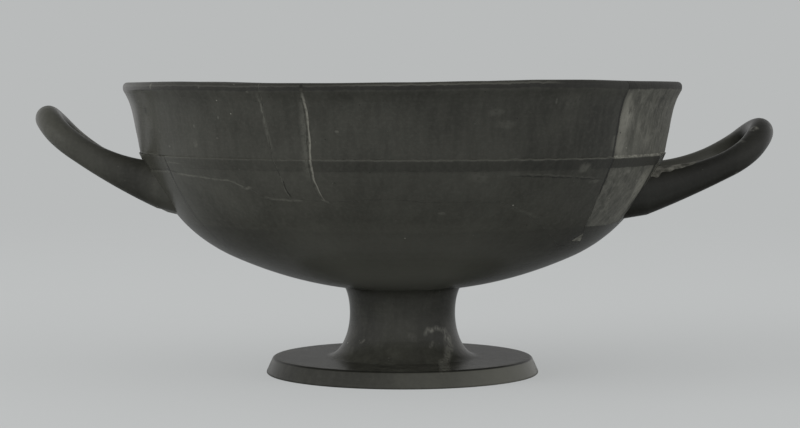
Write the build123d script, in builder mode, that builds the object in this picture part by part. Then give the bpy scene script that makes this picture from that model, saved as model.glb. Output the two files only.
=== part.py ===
from build123d import *
import os
from math import cos, radians, sin, sqrt, tan

# Stemmed drinking cup with an offset lip and two upturned loop handles, mended from its sherds.
# Millimetres. The origin is the middle of the standing surface, +Z is up, the handles lie along X and the
# side of the cup that is seen faces -Y. Bearings are in degrees from -Y towards +X, and dips in degrees
# upwards, both seen from the middle of the ridge plane.

# Bowl: a flaring lip over a low ridge, and a wall of three tangent arcs that ends in a small level spot.
rim_radius = 90.0
lip_flare = 5.5
lip_height = 23.2
lip_lean = 11.0
lip_straight = 12.5
rim_wall = 4.0
rim_roll = 1.5
rim_roll_drop = 2.6
rim_inner_round = 1.2
ridge_height = 71.7
ridge_step = 0.45
ridge_band = 3.3
ridge_undercut = 0.1
wall = 4.4
wall_lean_top = 25.0
wall_lean_shoulder = 37.5
wall_lean_belly = 65.0
wall_arc_upper = 81.0
wall_arc_lower = 48.5
turning_spot_radius = 2.0

# Stem and foot: one thrown piece, hollow underneath.
foot_radius = 44.4
foot_edge_radius = 42.0
foot_thickness = 5.3
foot_edge_round = 0.7
foot_toe_round = 0.8
neck_radius = 17.1
neck_height = 19.5
stem_foot_flare = 8.0
stem_bowl_flare = 3.6
stem_lap = 2.5
bore_mouth_radius = 11.5
bore_top_radius = 7.5
bore_depth = 19.2
bore_round = 4.0

# Handles: a round rod, swollen where it is luted to the wall, bent into a loop that turns up.
handle_half_spacing = 17.0
handle_start_inset = 7.3
handle_root_drop = 11.6
rod_radius = 4.1
root_radius = 7.6
root_mid_radius = 5.45
root_mid_share = 0.42
left_arm_length = 28.4
left_root_pitch = 13.4
left_arm_pitch = 32.7
left_tip_pitch = 42.0
left_roll = -5.4
right_arm_length = 27.3
right_root_pitch = 9.5
right_arm_pitch = 25.5
right_tip_pitch = 37.1
right_roll = 1.5

# Plaster laid over the top of the right handle's near root, which leans towards the back of the cup.
plaster_coat = 0.7
plaster_reach_share = 0.8
plaster_lean = 19.3

# Break lines, as (bearing, dip). A line that reaches the rim runs on past it to this dip.
past_rim = 24.0
crack_half_width = 0.36
crack_half_width_rim = 0.14
crack_foot = (-16.4, -9.25)
crack_line = [(-17.6, -7.8), (-18.5, -4.5), (-18.6, 0.0), (-18.5, 4.7), (-18.7, 10.2)]
crack_rim = (-19.8, past_rim)
narrow_foot = (-25.0, -8.55)
narrow_line = [(-25.6, -4.2), (-26.9, 1.9), (-27.3, 6.6), (-27.6, 10.2), (-27.9, past_rim)]
narrow_floor = (-21.7, -8.6)
left_join_top = (-59.5, 0.0)
left_join_low = (-59.5, -3.2)
left_join_foot = (-59.5, -37.0)
left_sweep = [(-47.5, -4.1), (-39.0, -4.55), (-33.7, -6.8), (-31.0, -8.5)]
left_lip_back = [(-115.0, past_rim), (-113.5, 8.0), (-116.0, 0.0)]
left_wall_back = [(-90.0, -38.5), (-119.0, -36.0), (-122.0, -18.0), (-118.5, 0.0)]
front_floor = [(46.0, -22.6), (37.3, -17.1), (26.7, -11.3), (21.4, -9.1), (5.4, -9.1), (-3.0, -8.3)]
front_foot = (58.2, -24.6)
panel_rim = (48.6, past_rim)
panel_ridge = (48.6, 0.0)
panel_elbow = (48.8, -9.5)
panel_foot = (51.0, -16.7)
chip_top = (53.2, -19.0)
chip_inner = (50.9, -21.3)
chip_low = (56.0, -21.9)
panel_floor = (62.0, -17.0)
right_join_foot = (71.5, -16.7)
right_join_mid = (72.4, -11.5)
right_join_top = (73.0, 0.0)
right_lip_back = [(101.5, 0.0), (99.5, 8.0), (101.0, past_rim)]
right_wall_back = [(120.0, 0.0), (122.5, -9.0), (120.0, -19.0), (98.0, -20.5), (80.0, -19.5)]

# A break cut starts this far from the axis, inside the cavity, and ends this far outside the rim.
break_near = 12.0
break_past_rim = 81.0

# Worked out from the sizes above.
rim_height = ridge_height + lip_height
lip_foot_radius = rim_radius - lip_flare
lip_bend = (lip_foot_radius + lip_straight * tan(radians(lip_lean)), ridge_height + lip_straight)
ridge_radius = lip_foot_radius + ridge_step
break_far = rim_radius + break_past_rim
ridge_low_radius = ridge_radius - ridge_band * tan(radians(wall_lean_top))
ridge_low = ridge_height - ridge_band
wall_top = (ridge_low_radius - ridge_undercut, ridge_low)
shoulder_turn = wall_lean_shoulder - wall_lean_top
belly_turn = wall_lean_belly - wall_lean_shoulder
floor_turn = 90.0 - wall_lean_belly
root_tail = handle_start_inset + root_radius


def wall_arcs(inset):
    """Draws the wall's arcs and level spot, inset from its outer face; returns the first and last point."""
    lean = radians(wall_lean_top)
    start = (wall_top[0] - inset * cos(lean), wall_top[1] + inset * sin(lean))
    upper = JernArc(start, (-sin(lean), -cos(lean)), wall_arc_upper - inset, -shoulder_turn)
    lower = JernArc(upper @ 1, upper % 1, wall_arc_lower - inset, -belly_turn)
    floor_arc = ((lower @ 1).X - turning_spot_radius) / cos(radians(wall_lean_belly))
    floor = JernArc(lower @ 1, lower % 1, floor_arc, -floor_turn)
    middle = (0, (floor @ 1).Y)
    Line(floor @ 1, middle)
    return start, middle


def lip_outside():
    """Draws the outside from the wall's top over the ridge to the rim, and returns the rim's outer corner."""
    Line(wall_top, (ridge_low_radius, ridge_low))
    Line((ridge_low_radius, ridge_low), (ridge_radius, ridge_height))
    Line((ridge_radius, ridge_height), (lip_foot_radius, ridge_height))
    Line((lip_foot_radius, ridge_height), lip_bend)
    under_roll = (rim_radius, rim_height - rim_roll_drop)
    TangentArc(lip_bend, under_roll, tangent=(sin(radians(lip_lean)), cos(radians(lip_lean))))
    rim_corner = (rim_radius, rim_height)
    Line(under_roll, rim_corner)
    return rim_corner


# The whole outside of the bowl, filled to the axis: what the stem and the handles are luted against.
with BuildPart() as bowl_body:
    with BuildSketch(Plane.XZ):
        with BuildLine():
            _, bowl_bottom = wall_arcs(0.0)
            rim_corner = lip_outside()
            Line(rim_corner, (0, rim_height))
            Line((0, rim_height), bowl_bottom)
        make_face()
    revolve(axis=Axis.Z)

# The bowl as it was thrown, before it broke.
with BuildPart() as bowl_shell:
    with BuildSketch(Plane.XZ) as bowl_section:
        with BuildLine():
            wall_arcs(0.0)
            lip_outside()
            rim_inner = (rim_radius - rim_wall, rim_height)
            Line(rim_corner, rim_inner)
            inner_top, floor_top = wall_arcs(wall)
            lean = radians(wall_lean_top)
            TangentArc(inner_top, rim_inner, tangent=(sin(lean), cos(lean)))
            Line(floor_top, bowl_bottom)
        make_face()
        rim_inside, rim_outside = bowl_section.vertices().group_by(Axis.Y)[-1].sort_by(Axis.X)
        fillet(rim_inside, radius=rim_inner_round)
        fillet(rim_outside, radius=rim_roll)
    revolve(axis=Axis.Z)


# Stem with its foot, trimmed to the underside of the bowl.
with BuildPart() as stem_foot:
    with BuildSketch(Plane.XZ) as stem_section:
        with BuildLine():
            stem_top = bowl_bottom[1] + stem_lap
            toe = (neck_radius + stem_foot_flare, foot_thickness)
            shoulder = (neck_radius + stem_bowl_flare, stem_top)
            below_neck = neck_height - foot_thickness
            above_neck = stem_top - neck_height
            EllipticalCenterArc((toe[0], neck_height), stem_foot_flare, below_neck, 180, arc_size=90)
            EllipticalCenterArc((shoulder[0], neck_height), stem_bowl_flare, above_neck, 90, arc_size=90)
            Line(toe, (foot_edge_radius, foot_thickness))
            Line((foot_edge_radius, foot_thickness), (foot_radius, 0))
            Line((foot_radius, 0), (0, 0))
            Line((0, 0), (0, stem_top))
            Line((0, stem_top), shoulder)
        make_face()
        foot_edge, foot_toe = stem_section.vertices().sort_by(Axis.X)[-2:]
        fillet(foot_toe, radius=foot_toe_round)
        fillet(foot_edge, radius=foot_edge_round)
    revolve(axis=Axis.Z)
    with BuildSketch(Plane.XZ) as bore_section:
        with BuildLine():
            bore_top = (bore_top_radius, bore_depth)
            Polyline((0, 0), (bore_mouth_radius, 0), bore_top, (0, bore_depth), close=True)
        make_face()
        bore_shoulder = bore_section.vertices().group_by(Axis.Y)[-1].sort_by(Axis.X)[-1]
        fillet(bore_shoulder, radius=bore_round)
    revolve(axis=Axis.Z, mode=Mode.SUBTRACT)
    add(bowl_body.part, mode=Mode.SUBTRACT)


def break_point(bearing, dip, middle, depth):
    """Point of the sight line (bearing, dip) where it meets the upright plane at this depth and bearing."""
    turn = radians(bearing - middle)
    across = depth * tan(turn)
    up = depth * tan(radians(dip)) / cos(turn)
    facing = radians(middle)
    x = depth * sin(facing) + across * cos(facing)
    y = -depth * cos(facing) + across * sin(facing)
    return Vector(x, y, ridge_height + up)


def break_wedge(outline):
    """Many-sided wedge through the wall, its sides the break faces between neighbours of the outline."""
    bearings = [bearing for bearing, _ in outline]
    middle = (min(bearings) + max(bearings)) / 2
    near = [break_point(bearing, dip, middle, break_near) for bearing, dip in outline]
    far = [break_point(bearing, dip, middle, break_far) for bearing, dip in outline]
    faces = [Face(Wire.make_polygon(near)), Face(Wire.make_polygon(far))]
    for i in range(len(outline)):
        faces.append(Face(Wire.make_polygon([near[i - 1], near[i], far[i], far[i - 1]])))
    return Solid(Shell(faces))


def beside_crack(side):
    """One edge of the filled crack, from its foot to the rim: -1 is its left edge, 1 its right edge."""
    edge = [(bearing + side * crack_half_width, dip) for bearing, dip in crack_line]
    edge.append((crack_rim[0] + side * crack_half_width_rim, crack_rim[1]))
    return edge


break_outlines = {
    "sherd_handle_left": [left_join_top, left_join_low, left_join_foot] + left_wall_back,
    "sherd_lip_left": [left_join_top, left_join_low] + left_sweep + [narrow_foot] + narrow_line
                      + left_lip_back,
    "sherd_lip_narrow": [narrow_foot] + narrow_line + beside_crack(-1)[::-1] + [crack_foot, narrow_floor],
    "fill_crack": [crack_foot] + beside_crack(-1) + beside_crack(1)[::-1],
    "sherd_front": [crack_foot] + beside_crack(1) + [panel_rim, panel_ridge, panel_elbow, panel_foot]
                   + [chip_top, chip_inner, chip_low, front_foot] + front_floor,
    "fill_chip": [chip_top, chip_low, chip_inner],
    "fill_lip_right": [panel_ridge, panel_rim] + right_lip_back[::-1] + [right_join_top],
    "fill_wall_right": [panel_ridge, panel_elbow, panel_foot, panel_floor, right_join_foot, right_join_mid,
                        right_join_top],
    "sherd_handle_right": [right_join_top, right_join_mid, right_join_foot] + right_wall_back[::-1]
                          + [right_lip_back[0]],
}
break_wedges = {name: break_wedge(outline) for name, outline in break_outlines.items()}


def biarc_meeting(start, start_way, end, end_way):
    """Point where two equal-reach tangent arcs meet, from start along start_way to end along end_way."""
    span = end - start
    ways = start_way + end_way
    spread = 2 * (1 - start_way.dot(end_way))
    along = span.dot(ways)
    reach = (sqrt(along * along + spread * span.dot(span)) - along) / spread
    return (start + start_way * reach + end - end_way * reach) * 0.5


def loop_handle(side, arm_length, root_pitch, arm_pitch, tip_pitch, roll):
    """Half of the loop is drawn along its root, arm and bend and mirrored; side is 1 for +X, -1 for -X."""
    tilt = radians(roll)
    root_middle = (0, 0, ridge_height - handle_root_drop)
    frame = Plane(root_middle, x_dir=(side, 0, 0), z_dir=(0, -sin(tilt), cos(tilt)))
    mirror_plane = Plane(frame.origin, x_dir=frame.x_dir, z_dir=frame.y_dir)
    start = (wall_top[0] - handle_start_inset, -handle_half_spacing, 0)
    turn = arm_pitch - root_pitch
    bend_radius = arm_length / radians(turn)
    pitch = radians(root_pitch)
    end_pitch = radians(arm_pitch)
    run = bend_radius * (sin(end_pitch) - sin(pitch))
    rise = bend_radius * (cos(pitch) - cos(end_pitch))
    elbow = (start[0] + run, start[1], rise)
    tip = (
        elbow[0] + handle_half_spacing * cos(radians(tip_pitch)),
        0,
        rise + handle_half_spacing * sin(radians(tip_pitch)),
    )

    def place(point):
        return frame.from_local_coords(Vector(*point))

    def heading(vector):
        return place(vector) - frame.origin

    with BuildPart() as handle:
        with BuildLine() as arm:
            TangentArc(place(start), place(elbow), tangent=heading((cos(pitch), 0, sin(pitch))))
        arm_line = arm.line.edge()
        for share, radius in ((0, root_radius), (root_mid_share, root_mid_radius), (1, rod_radius)):
            with BuildSketch(Plane(arm_line @ share, x_dir=frame.y_dir, z_dir=arm_line % share)):
                Circle(radius)
        loft()
        with BuildSketch(Plane(arm_line @ 0, x_dir=frame.y_dir, z_dir=arm_line % 0)):
            Circle(root_radius)
        extrude(amount=-root_tail)
        with BuildLine() as bend:
            out = arm_line % 1
            across = heading((0, 1, 0))
            meeting = biarc_meeting(place(elbow), out, place(tip), across)
            first = TangentArc(place(elbow), meeting, tangent=out)
            TangentArc(meeting, place(tip), tangent=first % 1)
        with BuildSketch(Plane(arm_line @ 1, x_dir=frame.y_dir, z_dir=out)):
            Circle(rod_radius)
        sweep(path=bend.line)
        mirror(about=mirror_plane)
        add(bowl_body.part, mode=Mode.SUBTRACT)
    return handle, arm_line, frame


handle_left, _, _ = loop_handle(
    -1, left_arm_length, left_root_pitch, left_arm_pitch, left_tip_pitch, left_roll
)
handle_right, near_arm, right_frame = loop_handle(
    1, right_arm_length, right_root_pitch, right_arm_pitch, right_tip_pitch, right_roll
)

# Plaster over the near root of the right handle: a thin coat on its upper side, seated on the wall.
with BuildPart() as fill_handle_right:
    coat_stations = ((0, root_radius), (root_mid_share, root_mid_radius), (plaster_reach_share, rod_radius))
    for share, radius in coat_stations:
        with BuildSketch(Plane(near_arm @ share, x_dir=right_frame.y_dir, z_dir=near_arm % share)):
            Circle(radius + plaster_coat)
    loft()
    coat_middle = (near_arm @ 0 + near_arm @ plaster_reach_share) * 0.5
    coat_up = Vector(0, sin(radians(plaster_lean)), cos(radians(plaster_lean)))
    split(bisect_by=Plane(coat_middle, z_dir=coat_up), keep=Keep.TOP)
    add(handle_right.part, mode=Mode.SUBTRACT)
    add(bowl_body.part, mode=Mode.SUBTRACT)

os.makedirs("parts", exist_ok=True)

# Each sherd and fill of the bowl is the thrown bowl inside its own wedge.
for name, wedge in break_wedges.items():
    with BuildPart() as piece:
        add(bowl_shell.part)
        add(wedge, mode=Mode.INTERSECT)
    piece.part.label = name
    export_step(piece.part, f"parts/{name}.step")

# The largest sherd is what the others leave: the floor, the lower wall and the back.
with BuildPart() as bowl_base:
    add(bowl_shell.part)
    for wedge in break_wedges.values():
        add(wedge, mode=Mode.SUBTRACT)

for name, piece in (
    ("bowl_base", bowl_base),
    ("stem_foot", stem_foot),
    ("handle_left", handle_left),
    ("handle_right", handle_right),
    ("fill_handle_right", fill_handle_right),
):
    piece.part.label = name
    export_step(piece.part, f"parts/{name}.step")
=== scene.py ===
import random
from math import atan2, cos, degrees, hypot, pi, radians, sin, sqrt, tan, tau

import bmesh
import bpy
from bmesh.types import BMEdge, BMVert
from bpy.props import FloatProperty, FloatVectorProperty, PointerProperty
from mathutils import Matrix, Vector, noise


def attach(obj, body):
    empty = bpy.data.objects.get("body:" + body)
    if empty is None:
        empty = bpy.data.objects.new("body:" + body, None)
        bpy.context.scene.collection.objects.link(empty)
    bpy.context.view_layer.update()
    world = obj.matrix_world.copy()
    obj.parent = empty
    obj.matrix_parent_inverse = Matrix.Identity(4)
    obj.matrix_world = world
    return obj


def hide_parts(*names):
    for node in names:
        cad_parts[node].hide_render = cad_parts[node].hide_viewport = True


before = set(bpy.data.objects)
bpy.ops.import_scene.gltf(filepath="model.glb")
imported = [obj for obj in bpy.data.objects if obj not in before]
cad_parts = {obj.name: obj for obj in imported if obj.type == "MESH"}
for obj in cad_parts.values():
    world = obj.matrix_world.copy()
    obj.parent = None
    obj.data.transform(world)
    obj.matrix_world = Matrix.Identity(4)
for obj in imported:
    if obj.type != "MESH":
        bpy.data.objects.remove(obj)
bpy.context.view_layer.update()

bl_info = {
    "name": "Mended stemmed cup",
    "version": (1, 0, 0),
    "blender": (4, 5, 0),
    "location": "View3D > Sidebar > Cup",
    "description": "Builds a burnished, loop-handled pottery cup, mended from its sherds with plaster",
    "category": "Add Mesh",
}

# Lengths are in metres, and MM turns a size in millimetres into one. The cup stands on the floor with its
# axis on Z and its handles along X. Bearings are in degrees from -Y towards +X, and dips in degrees upwards,
# both seen from the middle of the ridge plane.
MM = 0.001
BODY = "root"


def linear(hex_colour):
    """sRGB hex colour as linear red, green, blue and alpha."""
    channels = [int(hex_colour[i:i + 2], 16) / 255 for i in (1, 3, 5)]
    return tuple(c / 12.92 if c <= 0.04045 else ((c + 0.055) / 1.055) ** 2.4 for c in channels) + (1.0,)


def length(name, millimetres, description):
    """Length property with its default in millimetres."""
    return FloatProperty(name=name, description=description, default=millimetres * MM, unit="LENGTH",
                         precision=5)


def part_of(name, share, description):
    """Property for a share of a length."""
    return FloatProperty(name=name, description=description, default=share)


def angle(name, in_degrees, description):
    """Angle property with its default in degrees."""
    return FloatProperty(name=name, description=description, default=radians(in_degrees), subtype="ANGLE")


def colour(name, hex_colour, description):
    """Colour property with its default as an sRGB hex value."""
    return FloatVectorProperty(name=name, description=description, default=linear(hex_colour), size=4,
                               subtype="COLOR", min=0, max=1)


class BowlSizes(bpy.types.PropertyGroup):
    """Sizes of the thrown bowl."""
    rim_radius: length("Rim radius", 90.0, "Outer radius of the rim")
    lip_flare: length("Lip flare", 5.5, "How far the rim stands outside the foot of the lip")
    lip_height: length("Lip height", 23.2, "From the ridge to the rim")
    lip_lean: angle("Lip lean", 11.0, "Lean of the straight part of the lip")
    lip_straight: length("Lip straight", 12.5, "Height of the straight part of the lip")
    rim_wall: length("Rim wall", 4.0, "Thickness of the lip at the rim")
    rim_roll: length("Rim roll", 1.5, "Rounding of the rim's outer edge")
    rim_roll_drop: length("Rim roll drop", 2.6, "Depth of the rolled edge below the rim")
    rim_inner_round: length("Rim inner round", 1.2, "Rounding of the rim's inner edge")
    ridge_height: length("Ridge height", 71.7, "Height of the ridge between lip and wall")
    ridge_step: length("Ridge step", 0.45, "How far the ridge stands out from the lip")
    ridge_band: length("Ridge band", 3.3, "Height of the ridge's face")
    ridge_undercut: length("Ridge undercut", 0.1, "Step from the ridge back to the wall")
    ridge_round: length("Ridge round", 0.16, "Wear of the ridge's edge")
    rim_round: length("Rim round", 0.4, "Wear of the edge under the rolled rim")
    wall: length("Wall", 4.4, "Thickness of the wall")
    lean_top: angle("Lean at the top", 25.0, "Lean of the wall under the ridge")
    lean_shoulder: angle("Lean at the shoulder", 37.5, "Lean of the wall where its second arc starts")
    lean_belly: angle("Lean at the belly", 65.0, "Lean of the wall where its floor arc starts")
    arc_upper: length("Upper arc", 81.0, "Radius of the wall's upper arc")
    arc_lower: length("Lower arc", 48.5, "Radius of the wall's lower arc")
    turning_spot: length("Turning spot", 2.0, "Radius of the level spot in the middle of the floor")


class StemSizes(bpy.types.PropertyGroup):
    """Sizes of the stem and the disc foot."""
    foot_radius: length("Foot radius", 44.4, "Radius of the foot where it stands")
    foot_edge_radius: length("Foot edge radius", 42.0, "Radius of the foot's upper edge")
    foot_thickness: length("Foot thickness", 5.3, "Height of the foot's upper edge")
    foot_edge_round: length("Foot edge round", 0.7, "Wear of the foot's upper edge")
    foot_toe_round: length("Foot toe round", 0.8, "Wear of the foot's lower edge")
    neck_radius: length("Neck radius", 17.1, "Radius of the stem at its neck")
    neck_height: length("Neck height", 19.5, "Height of the neck")
    foot_flare: length("Foot flare", 8.0, "How far the stem flares onto the foot")
    bowl_flare: length("Bowl flare", 3.6, "How far the stem flares under the bowl")
    lap: length("Lap", 2.5, "How far the stem runs on past the bottom of the bowl")
    bore_mouth: length("Bore mouth", 11.5, "Radius of the hollow at the standing face")
    bore_top: length("Bore top", 7.5, "Radius of the hollow at its top")
    bore_depth: length("Bore depth", 19.2, "Depth of the hollow")
    bore_round: length("Bore round", 4.0, "Rounding of the hollow's top")


class HandleSizes(bpy.types.PropertyGroup):
    """Sizes of the two loop handles."""
    half_spacing: length("Half spacing", 17.0, "From the middle of the loop to an arm")
    start_inset: length("Start inset", 7.3, "How far inside the wall's top an arm starts")
    root_drop: length("Root drop", 11.6, "Depth of the roots below the ridge")
    rod_radius: length("Rod radius", 4.1, "Radius of the rod at the bend")
    root_radius: length("Root radius", 7.6, "Radius of an arm at its root")
    mid_radius: length("Mid radius", 5.45, "Radius of an arm part of the way out")
    mid_share: part_of("Mid share", 0.42, "Where along an arm the mid radius is")
    left_arm_length: length("Left arm length", 28.4, "Length of an arm, from inside the wall to the bend")
    left_root_pitch: angle("Left root pitch", 13.4, "Pitch of the left arms at their roots")
    left_arm_pitch: angle("Left arm pitch", 32.7, "Pitch of the left arms at the bend")
    left_tip_pitch: angle("Left tip pitch", 42.0, "Pitch of the left bend")
    left_roll: angle("Left roll", -5.4, "Roll of the left loop")
    right_arm_length: length("Right arm length", 27.3, "Length of an arm, from inside the wall to the bend")
    right_root_pitch: angle("Right root pitch", 9.5, "Pitch of the right arms at their roots")
    right_arm_pitch: angle("Right arm pitch", 25.5, "Pitch of the right arms at the bend")
    right_tip_pitch: angle("Right tip pitch", 37.1, "Pitch of the right bend")
    right_roll: angle("Right roll", 1.5, "Roll of the right loop")
    coat: length("Plaster coat", 0.7, "Thickness of the plaster on the right handle's near arm")
    coat_share: part_of("Coat share", 0.8, "How far out along the arm the plaster goes")
    coat_lean: angle("Coat lean", 19.3, "Lean of the plaster towards the back of the cup")


class CupColours(bpy.types.PropertyGroup):
    """Colours of the clay, the plaster and the stage."""
    clay: colour("Clay", "#2e2e29", "Burnished clay")
    # Clay dust also gives the painted light: the paler left side, the bowl's underside, the highlights along
    # the ridge and the rim, and the far arms of the handles.
    clay_dust: colour("Clay dust", "#6c6c64", "Dust and scuffs on the clay")
    # Clay speck also gives the painted highlight along the ridge of the plaster panels.
    clay_speck: colour("Clay speck", "#a8a79c", "Pale grit in the clay")
    toned_plaster: colour("Toned plaster", "#52524b", "Plaster panels, toned to the clay")
    pale_plaster: colour("Pale plaster", "#807f76", "Bare plaster")
    # Pit also gives the painted shade: on the ridge's face, on the rolled rim, in the foot's crease and on
    # the handles' near arms.
    pit_and_shade: colour("Pit", "#161614", "Pits, breaks and the darkest slip")
    backdrop: colour("Backdrop", "#b9bbbb", "Floor and backdrop")


# Break lines between the sherds, given as (bearing, dip). A line that reaches the rim runs on past it. The
# filled crack is this many degrees wide to either side of its line, and narrower at the rim.
PAST_RIM = 24.0
CRACK_HALF_WIDTH = 0.36
CRACK_HALF_WIDTH_RIM = 0.14
CRACK_FOOT = (-16.4, -9.25)
CRACK_LINE = [(-17.6, -7.8), (-18.5, -4.5), (-18.6, 0.0), (-18.5, 4.7), (-18.7, 10.2)]
CRACK_RIM = (-19.8, PAST_RIM)
NARROW_FOOT = (-25.0, -8.55)
NARROW_LINE = [(-25.6, -4.2), (-26.9, 1.9), (-27.3, 6.6), (-27.6, 10.2), (-27.9, PAST_RIM)]
NARROW_FLOOR = (-21.7, -8.6)
LEFT_JOIN_TOP = (-59.5, 0.0)
LEFT_JOIN_LOW = (-59.5, -3.2)
LEFT_JOIN_FOOT = (-59.5, -37.0)
LEFT_SWEEP = [(-47.5, -4.1), (-39.0, -4.55), (-33.7, -6.8), (-31.0, -8.5)]
LEFT_LIP_BACK = [(-115.0, PAST_RIM), (-113.5, 8.0), (-116.0, 0.0)]
LEFT_WALL_BACK = [(-90.0, -38.5), (-119.0, -36.0), (-122.0, -18.0), (-118.5, 0.0)]
FRONT_FLOOR = [(46.0, -22.6), (37.3, -17.1), (26.7, -11.3), (21.4, -9.1), (5.4, -9.1), (-3.0, -8.3)]
FRONT_FOOT = (58.2, -24.6)
PANEL_RIM = (48.6, PAST_RIM)
PANEL_RIDGE = (48.6, 0.0)
PANEL_ELBOW = (48.8, -9.5)
PANEL_FOOT = (51.0, -16.7)
CHIP_TOP = (53.2, -19.0)
CHIP_INNER = (50.9, -21.3)
CHIP_LOW = (56.0, -21.9)
PANEL_FLOOR = (62.0, -17.0)
RIGHT_JOIN_FOOT = (71.5, -16.7)
RIGHT_JOIN_MID = (72.4, -11.5)
RIGHT_JOIN_TOP = (73.0, 0.0)
RIGHT_LIP_BACK = [(101.5, 0.0), (99.5, 8.0), (101.0, PAST_RIM)]
RIGHT_WALL_BACK = [(120.0, 0.0), (122.5, -9.0), (120.0, -19.0), (98.0, -20.5), (80.0, -19.5)]


def beside_crack(side):
    """One edge of the filled crack, from its foot to the rim: -1 is its left edge, 1 its right edge."""
    edge = [(bearing + side * CRACK_HALF_WIDTH, dip) for bearing, dip in CRACK_LINE]
    edge.append((CRACK_RIM[0] + side * CRACK_HALF_WIDTH_RIM, CRACK_RIM[1]))
    return edge


SHERD_OUTLINES = {
    "sherd_handle_left": [LEFT_JOIN_TOP, LEFT_JOIN_LOW, LEFT_JOIN_FOOT] + LEFT_WALL_BACK,
    "sherd_lip_left": [LEFT_JOIN_TOP, LEFT_JOIN_LOW] + LEFT_SWEEP + [NARROW_FOOT] + NARROW_LINE
                      + LEFT_LIP_BACK,
    "sherd_lip_narrow": [NARROW_FOOT] + NARROW_LINE + beside_crack(-1)[::-1] + [CRACK_FOOT, NARROW_FLOOR],
    "sherd_front": [CRACK_FOOT] + beside_crack(1) + [PANEL_RIM, PANEL_RIDGE, PANEL_ELBOW, PANEL_FOOT]
                   + [CHIP_TOP, CHIP_INNER, CHIP_LOW, FRONT_FOOT] + FRONT_FLOOR,
    "sherd_handle_right": [RIGHT_JOIN_TOP, RIGHT_JOIN_MID, RIGHT_JOIN_FOOT] + RIGHT_WALL_BACK[::-1]
                          + [RIGHT_LIP_BACK[0]],
}
FILL_OUTLINES = {
    "fill_crack": [CRACK_FOOT] + beside_crack(-1) + beside_crack(1)[::-1],
    "fill_chip": [CHIP_TOP, CHIP_LOW, CHIP_INNER],
    "fill_lip_right": [PANEL_RIDGE, PANEL_RIM] + RIGHT_LIP_BACK[::-1] + [RIGHT_JOIN_TOP],
    "fill_wall_right": [PANEL_RIDGE, PANEL_ELBOW, PANEL_FOOT, PANEL_FLOOR, RIGHT_JOIN_FOOT, RIGHT_JOIN_MID,
                        RIGHT_JOIN_TOP],
}

# A break runs straight for about this long before it turns. Its turns shift along it by up to half of this
# share of a step, and stray this far from its line, or less between the points of the straight breaks.
BREAK_STEP = 2.2 * MM
STEP_SHIFT = 0.6
BREAK_STRAY = 0.2 * MM
STRAIGHT_STRAY = 0.04 * MM
STRAIGHT_BREAKS = {LEFT_JOIN_TOP, LEFT_JOIN_LOW, LEFT_JOIN_FOOT, PANEL_RIM, PANEL_RIDGE, PANEL_ELBOW,
                   PANEL_FOOT, PANEL_FLOOR, CRACK_FOOT, beside_crack(1)[0], beside_crack(-1)[0]}

# A wedge through the wall starts this far from the middle of the ridge plane and ends at so many rim radii.
WEDGE_START = 12 * MM
WEDGE_END = 2

# Worn break edges leave a fine groove: its reach into a sherd and into a plaster panel, and its depth.
SHERD_GROOVE = 0.13 * MM
PANEL_GROOVE = 0.22 * MM
GROOVE_DEPTH = 0.03 * MM

# How far the stem and the handles run into the bowl's skin, so that no slit shows along their joints.
LUTE_DEPTH = 0.5 * MM

# Faces in a ring round the cup's axis.
TURNS = 360
# Points of an outline nearer than this become one, and places nearer than this count as the same.
MERGE = 0.001 * MM
SAME_PLACE = 0.01 * MM


def only(kind, parts):
    """Those of a mesh's parts that are of one kind: points or edges."""
    return [part for part in parts if isinstance(part, kind)]


def tangent_arc(start, heading, end):
    """Centre, axis and turn of the arc that leaves start along heading and ends at end."""
    chord = end - start
    axis = heading.cross(chord).normalized()
    half_turn = heading.angle(chord)
    radius = chord.length / (2 * sin(half_turn))
    return start + axis.cross(heading).normalized() * radius, axis, 2 * half_turn


class Outline:
    """A line in the XZ plane that grows by extruding and spinning its last point."""

    def __init__(self, mesh, start):
        self.mesh = mesh
        self.tip = mesh.verts.new(start)

    def line(self, end, pieces=1):
        """Runs straight to the end, in so many pieces."""
        step = (Vector(end) - self.tip.co) / pieces
        for _ in range(pieces):
            self.tip = bmesh.ops.extrude_vert_indiv(self.mesh, verts=[self.tip])["verts"][0]
            bmesh.ops.translate(self.mesh, verts=[self.tip], vec=step)

    def arc(self, end, heading, pieces):
        """Runs to the end along the arc that leaves along the heading."""
        centre, axis, turn = tangent_arc(self.tip.co, Vector(heading), Vector(end))
        made = bmesh.ops.spin(self.mesh, geom=[self.tip], cent=centre, axis=axis, angle=turn, steps=pieces)
        self.tip = made["geom_last"][0]


def spun(mesh):
    """Spins the mesh's outline round the cup's axis into a closed skin."""
    bmesh.ops.remove_doubles(mesh, verts=mesh.verts, dist=MERGE)
    outline = mesh.verts[:] + mesh.edges[:]
    bmesh.ops.spin(mesh, geom=outline, cent=(0, 0, 0), axis=(0, 0, 1), angle=tau, steps=TURNS,
                   use_merge=True)
    bmesh.ops.remove_doubles(mesh, verts=mesh.verts, dist=MERGE)
    bmesh.ops.recalc_face_normals(mesh, faces=mesh.faces)
    return mesh


def point(radius, height):
    """Point of an outline, in the XZ plane."""
    return Vector((radius, 0, height))


def wall_top(bowl):
    """Where the wall starts, under the ridge."""
    ridge_radius = bowl.rim_radius - bowl.lip_flare + bowl.ridge_step
    radius = ridge_radius - bowl.ridge_band * tan(bowl.lean_top) - bowl.ridge_undercut
    return point(radius, bowl.ridge_height - bowl.ridge_band)


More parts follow.
